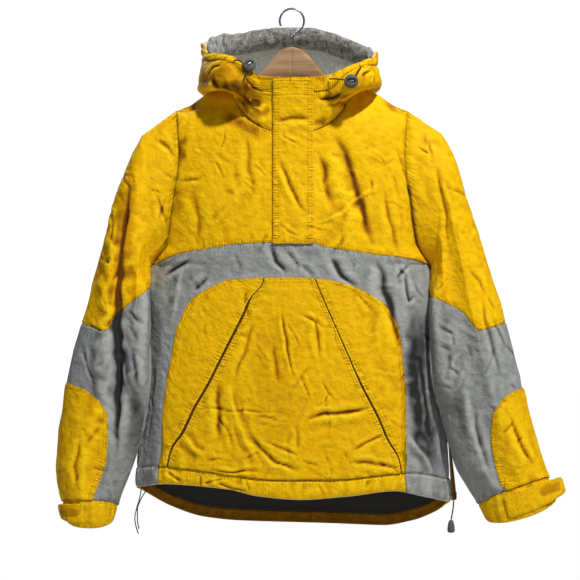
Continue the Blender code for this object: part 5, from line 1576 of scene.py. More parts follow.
def loft(name, rings, finish, capped=True):
    """A closed surface through rings of points, with its ends capped."""
    count, sides = rings.shape[:2]
    ids = np.arange(count * sides).reshape(count, sides)
    beside = np.roll(ids, -1, axis=1)
    faces = np.stack([ids[:-1], beside[:-1], beside[1:], ids[1:]], axis=-1).reshape(-1, 4)
    middle = rings.mean(axis=1, keepdims=True)
    across = np.roll(rings, -1, axis=1) - rings
    lie = np.cross(across[:-1], np.diff(rings, axis=0))
    caps = [ids[0, ::-1].tolist(), ids[-1].tolist()]
    if (lie * (rings - middle)[:-1]).sum() < 0:
        faces = faces[:, ::-1]
        caps = [cap[::-1] for cap in caps]
    return mesh_object(name, rings.reshape(-1, 3), faces.tolist() + (caps if capped else []), finish)


def tube(name, route, radius, finish, sides=10):
    """A round tube along a route of points, with closed ends."""
    route = np.asarray(route, float)
    way = unit(np.gradient(route, axis=0))
    normal = unit(np.cross(way[0], (0.3, 1.0, 0.2)))
    turn = np.arange(sides) * 2 * pi / sides
    radius = np.broadcast_to(np.asarray(radius, float), len(route))
    rings = []
    for point, forward, size in zip(route, way, radius):
        normal = unit(normal - forward * normal.dot(forward))
        other = np.cross(forward, normal)
        rings.append(point + size * (np.outer(np.cos(turn), normal) + np.outer(np.sin(turn), other)))
    return loft(name, np.array(rings), finish)


def make_locks():
    """The two cord locks on the hood, each with its slot, its bar, its loop of cord and its tail."""
    hoops = hood_hoops()
    high = np.linspace(0, pi, 49)[:, None]
    round_it = np.linspace(0, 2 * pi, 73)[None, :-1]
    ball = np.stack([np.sin(high) * np.cos(round_it), -np.cos(high) + 0 * round_it,
                     np.sin(high) * np.sin(round_it)], axis=-1)
    wide, narrow, depth = LOCK_SLOT
    for word, (x, drop, loop_reach, tail_reach, slant) in LOCKS.items():
        point, outward = hood_place(hoops, x, drop)
        middle = point + outward * (LOCK_HALF_DEPTH + LOCK_GAP)
        turn = np.array(Vector((0, -1, 0)).rotation_difference(Vector(outward)).to_matrix())
        flat = ball * np.array([LOCK_RADIUS, LOCK_HALF_DEPTH, LOCK_RADIUS])
        flat = flat * (1 - 0.10 * step_up(0.55, 1.0, -ball[..., 1:2]))
        lean = radians(slant)
        across = flat[..., 0] * cos(lean) + flat[..., 2] * sin(lean)
        rise = flat[..., 2] * cos(lean) - flat[..., 0] * sin(lean)
        off_middle = np.sqrt((across / wide) ** 2 + (rise / narrow) ** 2)
        flat[..., 1] += depth * (step_up(1.25, 0.85, off_middle) * (ball[..., 1] < 0))
        girdle = np.exp(-((ball[..., 1] - 0.25) / 0.09) ** 2)
        flat = flat * (1 - 0.05 * girdle[..., None])
        made = loft(f"cord_lock_{word}_body", flat @ turn.T + middle, finish_of("plastic"), capped=False)
        declare(made, "plastic", f"cord_lock_{word}")
        bar = np.linspace(-BAR_REACH, BAR_REACH, 12)
        line = np.stack([bar * cos(lean), 0 * bar - LOCK_HALF_DEPTH + BAR_DEPTH, bar * sin(lean)], axis=-1)
        size = 0.95 * np.sqrt(np.clip(1 - (bar / (BAR_REACH + 0.5)) ** 2, 0.15, 1))
        made = tube(f"cord_lock_{word}_bar", line @ turn.T + middle, size, finish_of("steel"))
        declare(made, "steel")
        for kind, reach, sag in (("loop", loop_reach, 4.0), ("tail", tail_reach, 6.0)):
            way = np.array([reach[0], 0, reach[1]]) / np.hypot(*reach)
            far_point, far_way = hood_place(hoops, x + reach[0], drop - reach[1])
            near_end = middle + way * (LOCK_RADIUS + 0.6)
            far_end = far_point + far_way * (CORD_RADIUS + 2.0)
            share = np.linspace(0, 1, 25)[:, None]
            route = near_end * (1 - share) + far_end * share + outward * sag * 4 * share * (1 - share)
            made = tube(f"hood_cord_{kind}_{word}_braid", route, CORD_RADIUS, finish_of("dark_cord"))
            declare(made, "dark_cord", f"hood_cord_{kind}_{word}")


# ---------------------------------------------------------------- the sleeves


def sleeve(side, along, angle):
    """The sleeve's outside at places along it and angles round it; 0 is its outer edge."""
    along, angle = np.broadcast_arrays(np.asarray(along, float), np.asarray(angle, float))
    rings = LEFT_SLEEVE if side > 0 else RIGHT_SLEEVE
    outer_x, outer_drop, inner_x, inner_drop, half_depth, middle_y = [
        smooth(range(1, len(rings) + 1), column, np.maximum(along, 1.0)) for column in zip(*rings)]
    turn = np.radians(angle)
    share = (1 - np.cos(turn)) / 2
    x = outer_x + (inner_x - outer_x) * share
    drop = outer_drop + (inner_drop - outer_drop) * share
    y = middle_y - half_depth * np.sin(turn)
    front = (angle % 360 > 0) & (angle % 360 < 180)
    rise = np.clip(along / 4, 0, 1) * np.clip((13 - along) / 2, 0, 1)
    y = y + np.where(front, SLEEVE_VALLEY * rise * np.maximum(0, 1 - ((share - 0.55) / 0.16) ** 2), 0)
    bow = CUFF_BULGE * np.abs(np.sin(turn)) * np.where(front, 1, 0.6)
    past = along - CUFF_SEAM
    towards = np.where(past <= 0, np.clip(past + 1, 0, 1), 1 - 2 * past)
    drop = drop - bow * towards
    x_clear, y_clear = clear_of_torso(side, x, y, drop, np.clip(along - 1, 0, 1))
    free = along >= 1
    x, y = np.where(free, x_clear, x), np.where(free, y_clear, y)
    face = np.where(angle % 360 <= 180, -1, 1)
    seam = torso(face, float(side), armhole_drop(share))
    joined = np.clip(along, 0, 1)
    spot = np.stack([x, y, -drop], axis=-1)
    return np.where(free[..., None], spot, seam * (1 - joined[..., None]) + spot * joined[..., None])


def clear_of_torso(side, x, y, drop, share):
    """Lay sleeve points just clear of the torso: in front of its side, or beside it further back."""
    centre, half_width, front, back, roundness = read_table(TORSO, drop)
    clearance = SLEEVE_CLEARANCE_LOOSE * share + SLEEVE_CLEARANCE * (1 - share)

    def is_inside(at_x, at_y):
        across = np.abs(at_x - centre) / (half_width + clearance)
        depth = np.where(at_y < 0, front, back)
        crown = np.maximum(0, 1 - across ** 2) ** (roundness / 2)
        return (across < 1) & (np.abs(at_y) < depth * crown + clearance)

    way_x = x - side * (half_width - SIDE_HUG_IN)
    way_y = y - SIDE_HUG_BACK
    length = np.sqrt(way_x ** 2 + way_y ** 2)
    near = np.zeros_like(x)
    far = np.full_like(x, 150.0)
    for _ in range(14):
        middle = (near + far) / 2
        hit = is_inside(x + way_x / length * middle, y + way_y / length * middle)
        near = np.where(hit, middle, near)
        far = np.where(hit, far, middle)
    move = is_inside(x, y) & (drop >= UNDERARM - 2)
    return np.where(move, x + way_x / length * far, x), np.where(move, y + way_y / length * far, y)


def sleeve_outward(side, along, angle):
    """The way the sleeve's cloth faces."""
    along, angle = np.broadcast_arrays(np.asarray(along, float), np.asarray(angle, float))
    run = sleeve(side, along + 0.15, angle) - sleeve(side, np.maximum(along - 0.15, 0), angle)
    turn = sleeve(side, along, angle + 4) - sleeve(side, along, angle - 4)
    outward = unit(np.cross(run, turn)) * -side
    face = np.where(angle % 360 <= 180, -1, 1)
    seam = torso_outward(face, float(side), armhole_drop((1 - np.cos(np.radians(angle))) / 2))
    joined = np.clip(along / 0.7, 0, 1)[..., None]
    return unit(seam * (1 - joined) + outward * joined)


def sleeve_relief(side, along, angle, base, outward):
    """The sleeve's folds, which its patch shares."""
    x, drop = base[..., 0], -base[..., 2]
    front = step_up(-0.15, 0.35, -outward[..., 1])
    back = step_up(-0.15, 0.35, outward[..., 1])
    relief = front * fold_field(SLEEVE_FRONT, x, drop) + 0.65 * back * fold_field(SLEEVE_BACK, x, drop)
    relief = relief + 1.25 * crumple(base, 45)
    share = (1 - np.cos(np.radians(angle))) / 2
    hugging = step_up(0.70, 0.88, share) * step_up(0.8, 1.6, along)
    relief = relief * (1 - hugging) + (
        np.minimum(relief, 0) * 0.4 - SLEEVE_TURNED_IN * step_up(500, 560, drop)) * hugging
    bulge = np.exp(-((share - 0.84) / 0.09) ** 2) * (np.sin(np.radians(angle)) > 0)
    relief = relief + FOREARM_SWELL * bulge * step_up(425, 480, drop) * step_up(650, 590, drop)
    under_arm = step_up(0.84, 0.97, share) * step_up(0.8, 1.3, along) * step_up(3.8, 2.6, along)
    relief = relief + UNDERARM_SWELL * under_arm
    relief = relief - (3.5 - side) * step_up(0.3, 0.0, share) * step_up(590, 650, drop)
    return relief * (0.35 + 0.65 * step_up(0, 0.5, along))


def upper_seam_along(angle):
    """Where the yellow upper sleeve ends at an angle round the sleeve."""
    return read_table(UPPER_SEAM, (1 - np.cos(np.radians(angle))) / 2)[0]


def sleeve_angles():
    """Angles round a sleeve, closer together on its front."""
    return np.concatenate([np.linspace(0, 180, 92)[:-1], np.linspace(180, 360, 49)[:-1]])


def sleeve_piece(node, side, along, angle, kind, seams, seed, offset=0.0, ply=SHELL, closed=True, extra=0.0,
                 shade=0.0):
    """A piece of the sleeve over a grid of places along it and angles round it, in place of its solid."""
    outward = sleeve_outward(side, along, angle)
    plain = sleeve(side, along, angle)
    base = drawn_in(plain + outward * offset, ("top", "foot") if closed else ("top", "foot", "left", "right"))
    relief = sleeve_relief(side, along, angle, plain, outward) * bpy.context.scene.anorak.fold_depth
    # Painted shade on the sleeves' front: darker colour where shadows fall and in hollows
    hollows = painted_shade_field(SLEEVE_PAINTED_SHADE, plain[..., 0], -plain[..., 2])
    shade = shade + hollows * step_up(0, 0.4, -outward[..., 1])
    made = cloth(f"{node}_cloth", base, outward, relief + extra, ply, finish_of(kind), closed=closed,
                 seams=seams, seed=seed, shade=shade)
    declare_cloth(made, kind, node)


def make_sleeves():
    """Each sleeve's yellow upper and grey lower piece."""
    angle = sleeve_angles()[None]
    seam = upper_seam_along(angle)
    for side, word, seed in ((-1, "right", 900), (1, "left", 940)):
        down = shares(300, 3.0)[:, None]
        place = sleeve(side, seam * down, angle + 0 * down)
        # The upper left sleeve's front edge sinks below mid-chest in the same way, painted dark as painted
        # shade in the gap to the torso
        sunk = (np.exp(-(measure(place, True)["top"] / 4.0) ** 2) * step_up(272, 300, -place[..., 2])
                * (angle < 180) * (side > 0))
        sleeve_piece(f"sleeve_upper_{word}", side, seam * down, angle + 0 * down, "yellow_shell",
                     SEAMS["sleeve_upper"], seed, extra=-ARMHOLE_SINK * sunk, shade=-2.2 * sunk)
        down = shares(330, 3.1)[:, None]
        sleeve_piece(f"sleeve_lower_{word}", side, seam + (CUFF_SEAM - seam) * down, angle + 0 * down,
                     "grey_shell", SEAMS["sleeve_lower"], seed + 20)


def on_sleeve(side, places):
    """Where front-view places lie on the sleeve: along it, and the share in from its outer edge."""
    rings = LEFT_SLEEVE if side > 0 else RIGHT_SLEEVE
    x, drop = np.array(places, float).T
    columns = list(zip(*rings))[:4]

    def miss(along, share):
        outer_x, outer_drop, inner_x, inner_drop = [
            smooth(range(1, len(rings) + 1), column, along) for column in columns]
        return (outer_x + (inner_x - outer_x) * share - x,
                outer_drop + (inner_drop - outer_drop) * share - drop)

    along, share = np.full(len(x), 10.0), np.full(len(x), 0.3)
    for _ in range(40):
        off_x, off_drop = miss(along, share)
        step_x, step_drop = miss(along + 0.01, share)
        side_x, side_drop = miss(along, share + 0.01)
        a, b = (step_x - off_x) / 0.01, (side_x - off_x) / 0.01
        c, d = (step_drop - off_drop) / 0.01, (side_drop - off_drop) / 0.01
        size = a * d - b * c
        along = along - 0.6 * (d * off_x - b * off_drop) / size
        share = share - 0.6 * (a * off_drop - c * off_x) / size
    return along, share


def make_patches():
    """The yellow forearm patches, wrapped round each sleeve's outer edge."""
    end = CUFF_SEAM - 0.03
    for side, word, top_path, side_path in ((-1, "right", RIGHT_PATCH_TOP, RIGHT_PATCH_SIDE),
                                            (1, "left", LEFT_PATCH_TOP, LEFT_PATCH_SIDE)):
        top_along, top_share = on_sleeve(side, run_along(top_path, 30))
        edge_along, edge_share = on_sleeve(side, run_along(side_path, 40))
        top_share = np.clip(top_share, 0, 1)
        order = np.argsort(top_share)
        reach = np.degrees(np.arccos(1 - 2 * np.clip(edge_share, 0, 1)))

        def top(share):
            angle = reach[0] * (2 * share - 1)
            at = (1 - np.cos(np.radians(angle))) / 2
            return np.stack([angle, np.interp(at, top_share[order], top_along[order])], axis=-1)

        def flank(share, way):
            along = edge_along[0] + (end - edge_along[0]) * share
            return np.stack([way * np.interp(along, edge_along, reach), along], axis=-1)

        def foot(share):
            widest = flank(np.array([1.0]), 1)[0, 0]
            return np.stack([widest * (2 * share - 1), np.full_like(share, end)], axis=-1)

        places = spanned(lambda share: flank(share, -1), lambda share: flank(share, 1), top, foot,
                         shares(180, 2.6), shares(190, 2.6))
        sleeve_piece(f"forearm_patch_{word}", side, places[..., 1], places[..., 0], "yellow_shell",
                     SEAMS["forearm_patch"], 980 + side, offset=SEAM + POCKET_PLY, ply=SEWN_ON, closed=False)


def make_cuffs():
    """The cuffs, and the tab across the front of each."""
    angle = sleeve_angles()[None]
    for side, word, seed in ((-1, "right", 1000), (1, "left", 1040)):
        down = shares(36, 2.2)[:, None]
        along = CUFF_SEAM + down + 0 * angle
        points = sleeve(side, along, angle)
        turned = np.broadcast_to(angle, along.shape) * 2.2
        gathers = CUFF_GATHERS * noise(turned, points[..., 2] * 0.3, side, 16, seed)
        sleeve_piece(f"cuff_{word}", side, along, angle + 0 * down, "yellow_shell", SEAMS["cuff"], seed,
                     ply=PADDED, extra=gathers * np.sin(pi * down) ** 0.5)
        make_tab(side, word, *TABS[word])


def make_tab(side, word, start, end, reach):
    """The cuff's tab: a band over its front that stands off past the outer edge, with a strap sewn on it."""
    turn = np.linspace(start, end, 44)[None]
    across = shares(26, 1.6)[:, None]
    along = CUFF_SEAM + 0.5 + (across - 0.5) * 2 * TAB_HALF + 0 * turn
    outward = sleeve_outward(side, along, turn + 0 * along)
    base = sleeve(side, along, turn + 0 * along)
    run = unit(base[:, -1] - base[:, -14])
    steps = np.linspace(0, reach, max(3, round(reach / 1.5)) + 1)[1:]
    past = base[:, -1:] + run[:, None] * steps[None, :, None]
    base = np.concatenate([base, past], axis=1)
    outward = np.concatenate([outward, np.repeat(outward[:, -1:], len(steps), axis=1)], axis=1)
    rounding = np.clip(1 - measure(base)["right"] / TAB_ROUND, 0, 1)
    middle = base[len(across) // 2][None]
    base = base + (middle - base) * (0.22 * rounding ** 2)[..., None]
    base = base + outward * TAB_GAP
    size = measure(base)
    strap_x, strap_y = [np.maximum(np.abs(size[edge] - place) - reach, 0)
                        for edge, place, reach in zip(("right", "top"), STRAP_PLACE, STRAP_REACH)]
    within = STRAP_ROUND - np.hypot(strap_x, strap_y)
    relief = 0.25 * crumple(base, 92) - 0.7 * np.exp(-(within / 1.0) ** 2) + 0.3 * step_up(0.5, 2.0, within)
    made = cloth(f"cuff_tab_{word}_cloth", base, outward, relief, SEWN_ON, finish_of("yellow_shell"),
                 seams=SEAMS["cuff_tab"], seed=1100 + side, shade=-1.2 * step_up(0.4, 1.6, within))
    declare_cloth(made, "yellow_shell", f"cuff_tab_{word}")


# ---------------------------------------------------------------- zip, cords and hanger


def curved_route(route, steps=6):
    """Points along a smooth curve through a route's own points, given as x, y and drop."""
    at = np.linspace(0, len(route) - 1, steps * (len(route) - 1) + 1)
    x, y, drop = [smooth(range(len(route)), column, at) for column in zip(*route)]
    return np.stack([x, y, -drop], axis=-1)


def make_cords():
    """The two free strands of drawcord at the hem, and the side zip's pull cord with its bell."""
    cords = {}
    for name, route, radius in (("hem_cord_long", HEM_CORD_LONG, HEM_CORD_RADIUS),
                                ("hem_cord_short", HEM_CORD_SHORT, HEM_CORD_RADIUS),
                                ("zip_pull_cord", PULL_CORD, CORD_RADIUS)):
        path = curved_route(route)
        made = tube(f"{name}_braid", path, radius, finish_of("dark_cord"))
        declare(made, "dark_cord", name)
        length = float(np.linalg.norm(np.diff(path, axis=0), axis=1).sum()) * MM
        cords[name] = (made, path[-1], {"exit": (path[0] * MM).tolist(), "length": length,
                                        "diameter": 2 * radius * MM, "path": (path * MM).tolist()})
    made, end, pull = cords.pop("zip_pull_cord")
    turn = np.arange(28) * 2 * pi / 28
    rings = np.array([[(end[0] + radius * cos(at), end[1] + radius * sin(at), end[2] - 0.6 - down)
                       for at in turn] for down, radius in BELL_PROFILE])
    bell = loft("zip_pull_bell_body", rings, finish_of("plastic"))
    declare(bell, "plastic", "zip_pull_bell")


def rounded_box(turn, power):
    """A square with rounded corners: its two places at angles round it, from -1 to 1."""
    return [np.sign(part) * np.abs(part) ** power for part in (np.cos(turn), np.sin(turn))]


def make_side_zip():
    """The zip in the left side seam's foot, with its slider."""
    drop = np.linspace(SIDE_ZIP_TOP, SIDE_ZIP_FOOT, 70)[:, None]
    y = np.linspace(-SIDE_ZIP_HALF_WIDTH, SIDE_ZIP_HALF_WIDTH, 15)[None]
    centre, half_width, *_ = read_table(TORSO, drop)
    flare = 8.0 * step_up(SIDE_ZIP_TOP, SIDE_ZIP_FOOT, drop)
    x = centre + half_width + 1.2 + 1.6 - np.abs(y) * 0.12 + flare * (0.5 + y / (2 * SIDE_ZIP_HALF_WIDTH))
    base = np.stack(np.broadcast_arrays(x, y, -drop), axis=-1)
    outward = np.zeros_like(base)
    outward[..., 0] = 1
    relief = 0.25 * np.cos(y * 2 * pi / 3.5) - 0.5 * np.exp(-(y / 1.2) ** 2) + 0.12 * noise(y, drop, 0, 9, 3)
    made = cloth("side_zip_tape", base, outward, relief, SIDE_TAPE, finish_of("zip_tape"))
    declare_cloth(made, "zip_tape", "side_zip")
    line = base[:, 7] + outward[:, 7] * 0.2
    teeth = repeat_along("side_zip_teeth", [(line, outward[:, 7])], finish_of("zip_metal"), *SIDE_TEETH,
                         tooth=True)
    declare(teeth, "zip_metal")
    middle = (float(centre[-1, 0] + half_width[-1, 0]) + 3.1 + 5.3, 0, 7 - SIDE_ZIP_FOOT)
    turn = np.arange(24) * 2 * pi / 24
    box_y, box_x = rounded_box(turn, 0.5)
    rings = [np.stack([middle[0] + deep * box_x, middle[1] + wide * box_y, np.full(24, middle[2] + high)],
                      axis=-1) for high, wide, deep in SLIDER]
    slider = loft("side_zip_slider_body", np.array(rings), finish_of("plastic"))
    declare(slider, "plastic", "side_zip_slider")


def make_hanger():
    """The two wooden arms and the wire hook."""
    along = np.concatenate([[0.15, 0.6, 1.6], np.linspace(4, 206, 76), [208.5, 210.4, 211.6, 212]])
    box_y, box_z = rounded_box(np.arange(36) * 2 * pi / 36, 0.62)
    for side, word in ((-1, "right"), (1, "left")):
        rings = []
        for place, high, low, half in zip(along, *read_table(HANGER_ARM, along)):
            tip = np.sqrt(np.clip((212.6 - place) / 6, 0.02, 1))
            inset = np.clip(1 - (place - 0.15) / 1.5, 0, 1) * 0.5
            y = box_y * (half * (0.45 + 0.55 * tip) - inset)
            z = box_z * ((low - high) / 2 * tip - inset)
            rings.append(np.stack([np.full(36, side * place), y, -(high + low) / 2 + z], axis=-1))
        made = loft(f"hanger_wood_{word}", np.array(rings), finish_of("wood"))
        declare(made, "wood", f"hanger_arm_{word}")
    turn = np.radians(np.linspace(-42, 205, 60))
    arc = np.stack([HOOK_RADIUS * np.cos(turn), 0 * turn,
                    HOOK_RADIUS * np.sin(turn) - (HOOK_RADIUS - HOOK_WIRE)], axis=-1)
    route = np.concatenate([[(0, 0, -drop) for drop in HOOK_STEM], arc])
    made = tube("hanger_hook_wire", route, HOOK_WIRE, finish_of("steel"), 14)
    declare(made, "steel", "hanger_hook")


# ---------------------------------------------------------------- sewing


def repeat_group():
    """Geometry nodes that lay one small shape again and again along lines on the cloth."""
    found = bpy.data.node_groups.get("Repeat along lines")
    if found:
        return found
    group = bpy.data.node_groups.new("Repeat along lines", "GeometryNodeTree")
    for name, kind, value in (("Geometry", "Geometry", None), ("Pitch", "Float", 0.003),
                              ("Length", "Float", 0.002), ("Width", "Float", 0.0005),
                              ("Height", "Float", 0.0004), ("Side step", "Float", 0.0),
                              ("Square", "Bool", None), ("Finish", "Material", None)):
        socket = group.interface.new_socket(name=name, in_out="INPUT", socket_type="NodeSocket" + kind)
        if value is not None:
            socket.default_value = value
    group.interface.new_socket(name="Geometry", in_out="OUTPUT", socket_type="NodeSocketGeometry")
    given = add_node(group, "NodeGroupInput").outputs
    curve = add_node(group, "GeometryNodeMeshToCurve", "Curve", {"Mesh": given["Geometry"]})
    dots = add_node(group, "GeometryNodeResampleCurve", "Curve", {"Curve": curve, "Length": given["Pitch"]},
                    mode="LENGTH")
    lie = add_node(group, "GeometryNodeInputNamedAttribute", "Attribute", {"Name": "lie"},
                   data_type="FLOAT_VECTOR")
    tangent = add_node(group, "GeometryNodeInputTangent", "Tangent")
    turn = add_node(group, "FunctionNodeAlignRotationToVector", "Rotation", {"Vector": tangent}, axis="X")
    turn = add_node(group, "FunctionNodeAlignRotationToVector", "Rotation", {"Rotation": turn, "Vector": lie},
                    axis="Z", pivot_axis="X")
    ball = add_node(group, "GeometryNodeMeshIcoSphere", "Mesh", {"Radius": 0.5, "Subdivisions": 1})
    cube = add_node(group, "GeometryNodeMeshCube", "Mesh")
    shape = add_node(group, "GeometryNodeSwitch", "Output", {"Switch": given["Square"], "False": ball,
                                                             "True": cube}, input_type="GEOMETRY")
    size = add_node(group, "ShaderNodeCombineXYZ", "Vector", {"X": given["Length"], "Y": given["Width"],
                                                              "Z": given["Height"]})
    laid = add_node(group, "GeometryNodeInstanceOnPoints", "Instances", {
        "Points": dots, "Instance": shape, "Rotation": turn, "Scale": size})
    odd = maths(group, "MODULO", add_node(group, "GeometryNodeInputIndex", "Index"), 2.0)
    step = maths(group, "MULTIPLY", maths(group, "SUBTRACT", odd, 0.5), given["Side step"])
    shift = add_node(group, "ShaderNodeCombineXYZ", "Vector", {"Y": step})
    moved = add_node(group, "GeometryNodeTranslateInstances", "Instances", {
        "Instances": laid, "Translation": shift})
    real = add_node(group, "GeometryNodeRealizeInstances", "Geometry", {"Geometry": moved})
    painted = add_node(group, "GeometryNodeSetMaterial", "Geometry", {
        "Geometry": real, "Material": given["Finish"]})
    add_node(group, "NodeGroupOutput", inputs={"Geometry": painted})
    return group


def repeat_along(name, lines, finish, pitch, size, tooth=False):
    """Stitches or teeth along lines, each given as its points and the way the cloth faces there."""
    points, ways, edges = [], [], []
    for line, lie in lines:
        first = len(points)
        points += (np.asarray(line) * MM).tolist()
        ways += np.asarray(lie).tolist()
        edges += [(at, at + 1) for at in range(first, len(points) - 1)]
    carrier = bpy.data.meshes.new(name + "_lines")
    carrier.from_pydata(points, edges, [])
    attribute = carrier.attributes.new("lie", "FLOAT_VECTOR", "POINT")
    attribute.data.foreach_set("vector", np.array(ways, np.float32).ravel())
    holder = link(bpy.data.objects.new(name + "_lines", carrier))
    modifier = holder.modifiers.new("repeat", "NODES")
    modifier.node_group = repeat_group()
    values = {"Pitch": pitch * MM, "Length": size[0] * MM, "Width": size[1] * MM, "Height": size[2] * MM,
              "Side step": 1.4 * MM if tooth else 0.0, "Square": tooth, "Finish": finish}
    for item in modifier.node_group.interface.items_tree:
        if item.in_out == "INPUT" and item.name in values:
            modifier[item.identifier] = values[item.name]
    laid = holder.evaluated_get(bpy.context.evaluated_depsgraph_get())
    mesh = bpy.data.meshes.new_from_object(laid)
    mesh.name = name
    holder.modifiers.clear()
    bpy.data.objects.remove(holder, do_unlink=True)
    if not tooth:
        mesh.shade_smooth()
    return link(bpy.data.objects.new(name, mesh))


def edge_line(panel, edge, distance, start=0.0, end=1.0):
    """A line on a panel at a distance from one of its edges."""
    made = MADE[panel]
    outer, lie, gone = made["outer"], made["lie"], made["size"][edge]
    if edge in ("top", "foot"):
        outer, lie, gone = outer.transpose(1, 0, 2), lie.transpose(1, 0, 2), gone.T
    if edge in ("foot", "right"):
        outer, lie, gone = outer[:, ::-1], lie[:, ::-1], gone[:, ::-1]
    count = len(outer)
    kept = range(int(start * (count - 1)), int(end * (count - 1)) + 1)
    points, ways = [], []
    for at in kept:
        spot = min(max(int(np.searchsorted(gone[at], distance)) - 1, 0), gone.shape[1] - 2)
        gap = gone[at][spot + 1] - gone[at][spot]
        if gone[at][-1] < distance * 2:
            continue
        t = (distance - gone[at][spot]) / max(gap, 1e-6)
        points.append(outer[at][spot] * (1 - t) + outer[at][spot + 1] * t + lie[at][spot] * 0.05)
        ways.append(lie[at][spot])
    if made["closed"] and start == 0 and end == 1 and edge in ("top", "foot"):
        points.append(points[0])
        ways.append(ways[0])
    return np.array(points), np.array(ways)


def surface_line(path, offset, count=120):
    """A line over the torso's front through places given as x and drop."""
    x, drop = run_along(path, count).T
    across = torso_across(x, drop)
    outward = torso_outward(-1, across, drop)
    relief = torso_relief(-1, across, drop) * bpy.context.scene.anorak.fold_depth
    return torso(-1, across, drop) + outward * (offset + relief + 0.1)[:, None], outward


def make_sewing():
    """All the rows of topstitching, laid on the cloth beside its seams."""
    settings = bpy.context.scene.anorak
    pitch, width = settings.stitch_pitch / MM, settings.stitch_width / MM
    for group, panels in SEWING.items():
        lines = []
        for panel in [f"{panel}_cloth" for panel in panels]:
            for edge, row in MADE[panel]["rows"]:
                part = YOKE_NECK_ROW if (group, edge) == ("yokes", "top") else (0.0, 1.0)
                lines.append(edge_line(panel, edge, row, *part))
        if group == "pocket":
            lines += [surface_line(path, SEAM + POCKET_PLY) for path in SIDE_ROWS]
        if group == "hood":
            lines = [edge_line("hood_shell_cloth", "foot", row) for row in (CHANNEL, RIM_ROW)]
        made = repeat_along(f"stitching_{group}", lines, finish_of("thread"), pitch,
                            (pitch * 0.78, width, width * 0.7))
        declare(made, "yellow_shell")


# ---------------------------------------------------------------- camera, light and floor


def make_camera():
    """The camera, level with the garment's middle and straight in front of it."""
    camera = bpy.data.cameras.new("front_camera")
    camera.lens = CAMERA_LENS
    camera.sensor_width = SENSOR_WIDTH
    made = link(bpy.data.objects.new("front_camera", camera))
    made.location = CAMERA_PLACE
    made.rotation_euler = (radians(90), 0, 0)
    bpy.context.scene.camera = made


def seen_apart(tree, lit, seen, leave):
    """Let the camera see one shader, and all other rays meet another."""
    ray = add_node(tree, "ShaderNodeLightPath", "Is Camera Ray")
    mixed = add_node(tree, "ShaderNodeMixShader", "Shader", {"Fac": ray, 1: lit, 2: seen})
    tree.links.new(mixed, tree.nodes[leave].inputs["Surface"])


def make_stage():
    """A pale floor, a white surround, strong light from the upper right and a soft fill."""
    scene = bpy.context.scene
    world = bpy.data.worlds.new("white_surround")
    scene.world = world
    world.use_nodes = True
    tree = world.node_tree
    lit = tree.nodes["Background"]
    lit.inputs["Color"].default_value = (0.95, 0.97, 1.0, 1)
    lit.inputs["Strength"].default_value = scene.anorak.fill_strength
    seen = add_node(tree, "ShaderNodeBackground", "Background", {
        "Color": (1, 1, 1, 1), "Strength": SURROUND_SEEN})
    seen_apart(tree, lit.outputs["Background"], seen, "World Output")
    floor = plain_finish("pale_floor", (0.55, 0.55, 0.55), 0.9)
    tree = floor.node_tree
    glow = add_node(tree, "ShaderNodeEmission", "Emission")
    seen_apart(tree, tree.nodes["Principled BSDF"].outputs["BSDF"], glow, "Material Output")
    corners = [(x * FLOOR_REACH, y * FLOOR_REACH, -FLOOR_DROP)
               for x, y in ((-1, -1), (1, -1), (1, 1), (-1, 1))]
    mesh_object("pale_ground", corners, [(0, 1, 2, 3)], floor, flat=True)
    for name, place, aim, power, width, colour in LIGHTS:
        light = bpy.data.lights.new(name, "AREA")
        light.energy = scene.anorak.key_power if power is None else power
        light.size = width
        light.color = colour
        made = link(bpy.data.objects.new(name, light))
        made.location = place
        made.rotation_euler = (Vector(aim) - Vector(place)).to_track_quat("-Z", "Y").to_euler()
    scene.view_settings.view_transform = "Standard"
    scene.view_settings.look = "None"


# ---------------------------------------------------------------- the add-on


def colour_property(name, description, default):
    """A colour that a user may change."""
    return bpy.props.FloatVectorProperty(name=name, description=description, default=default, size=3, min=0.0,
                                         max=1.0, subtype="COLOR")


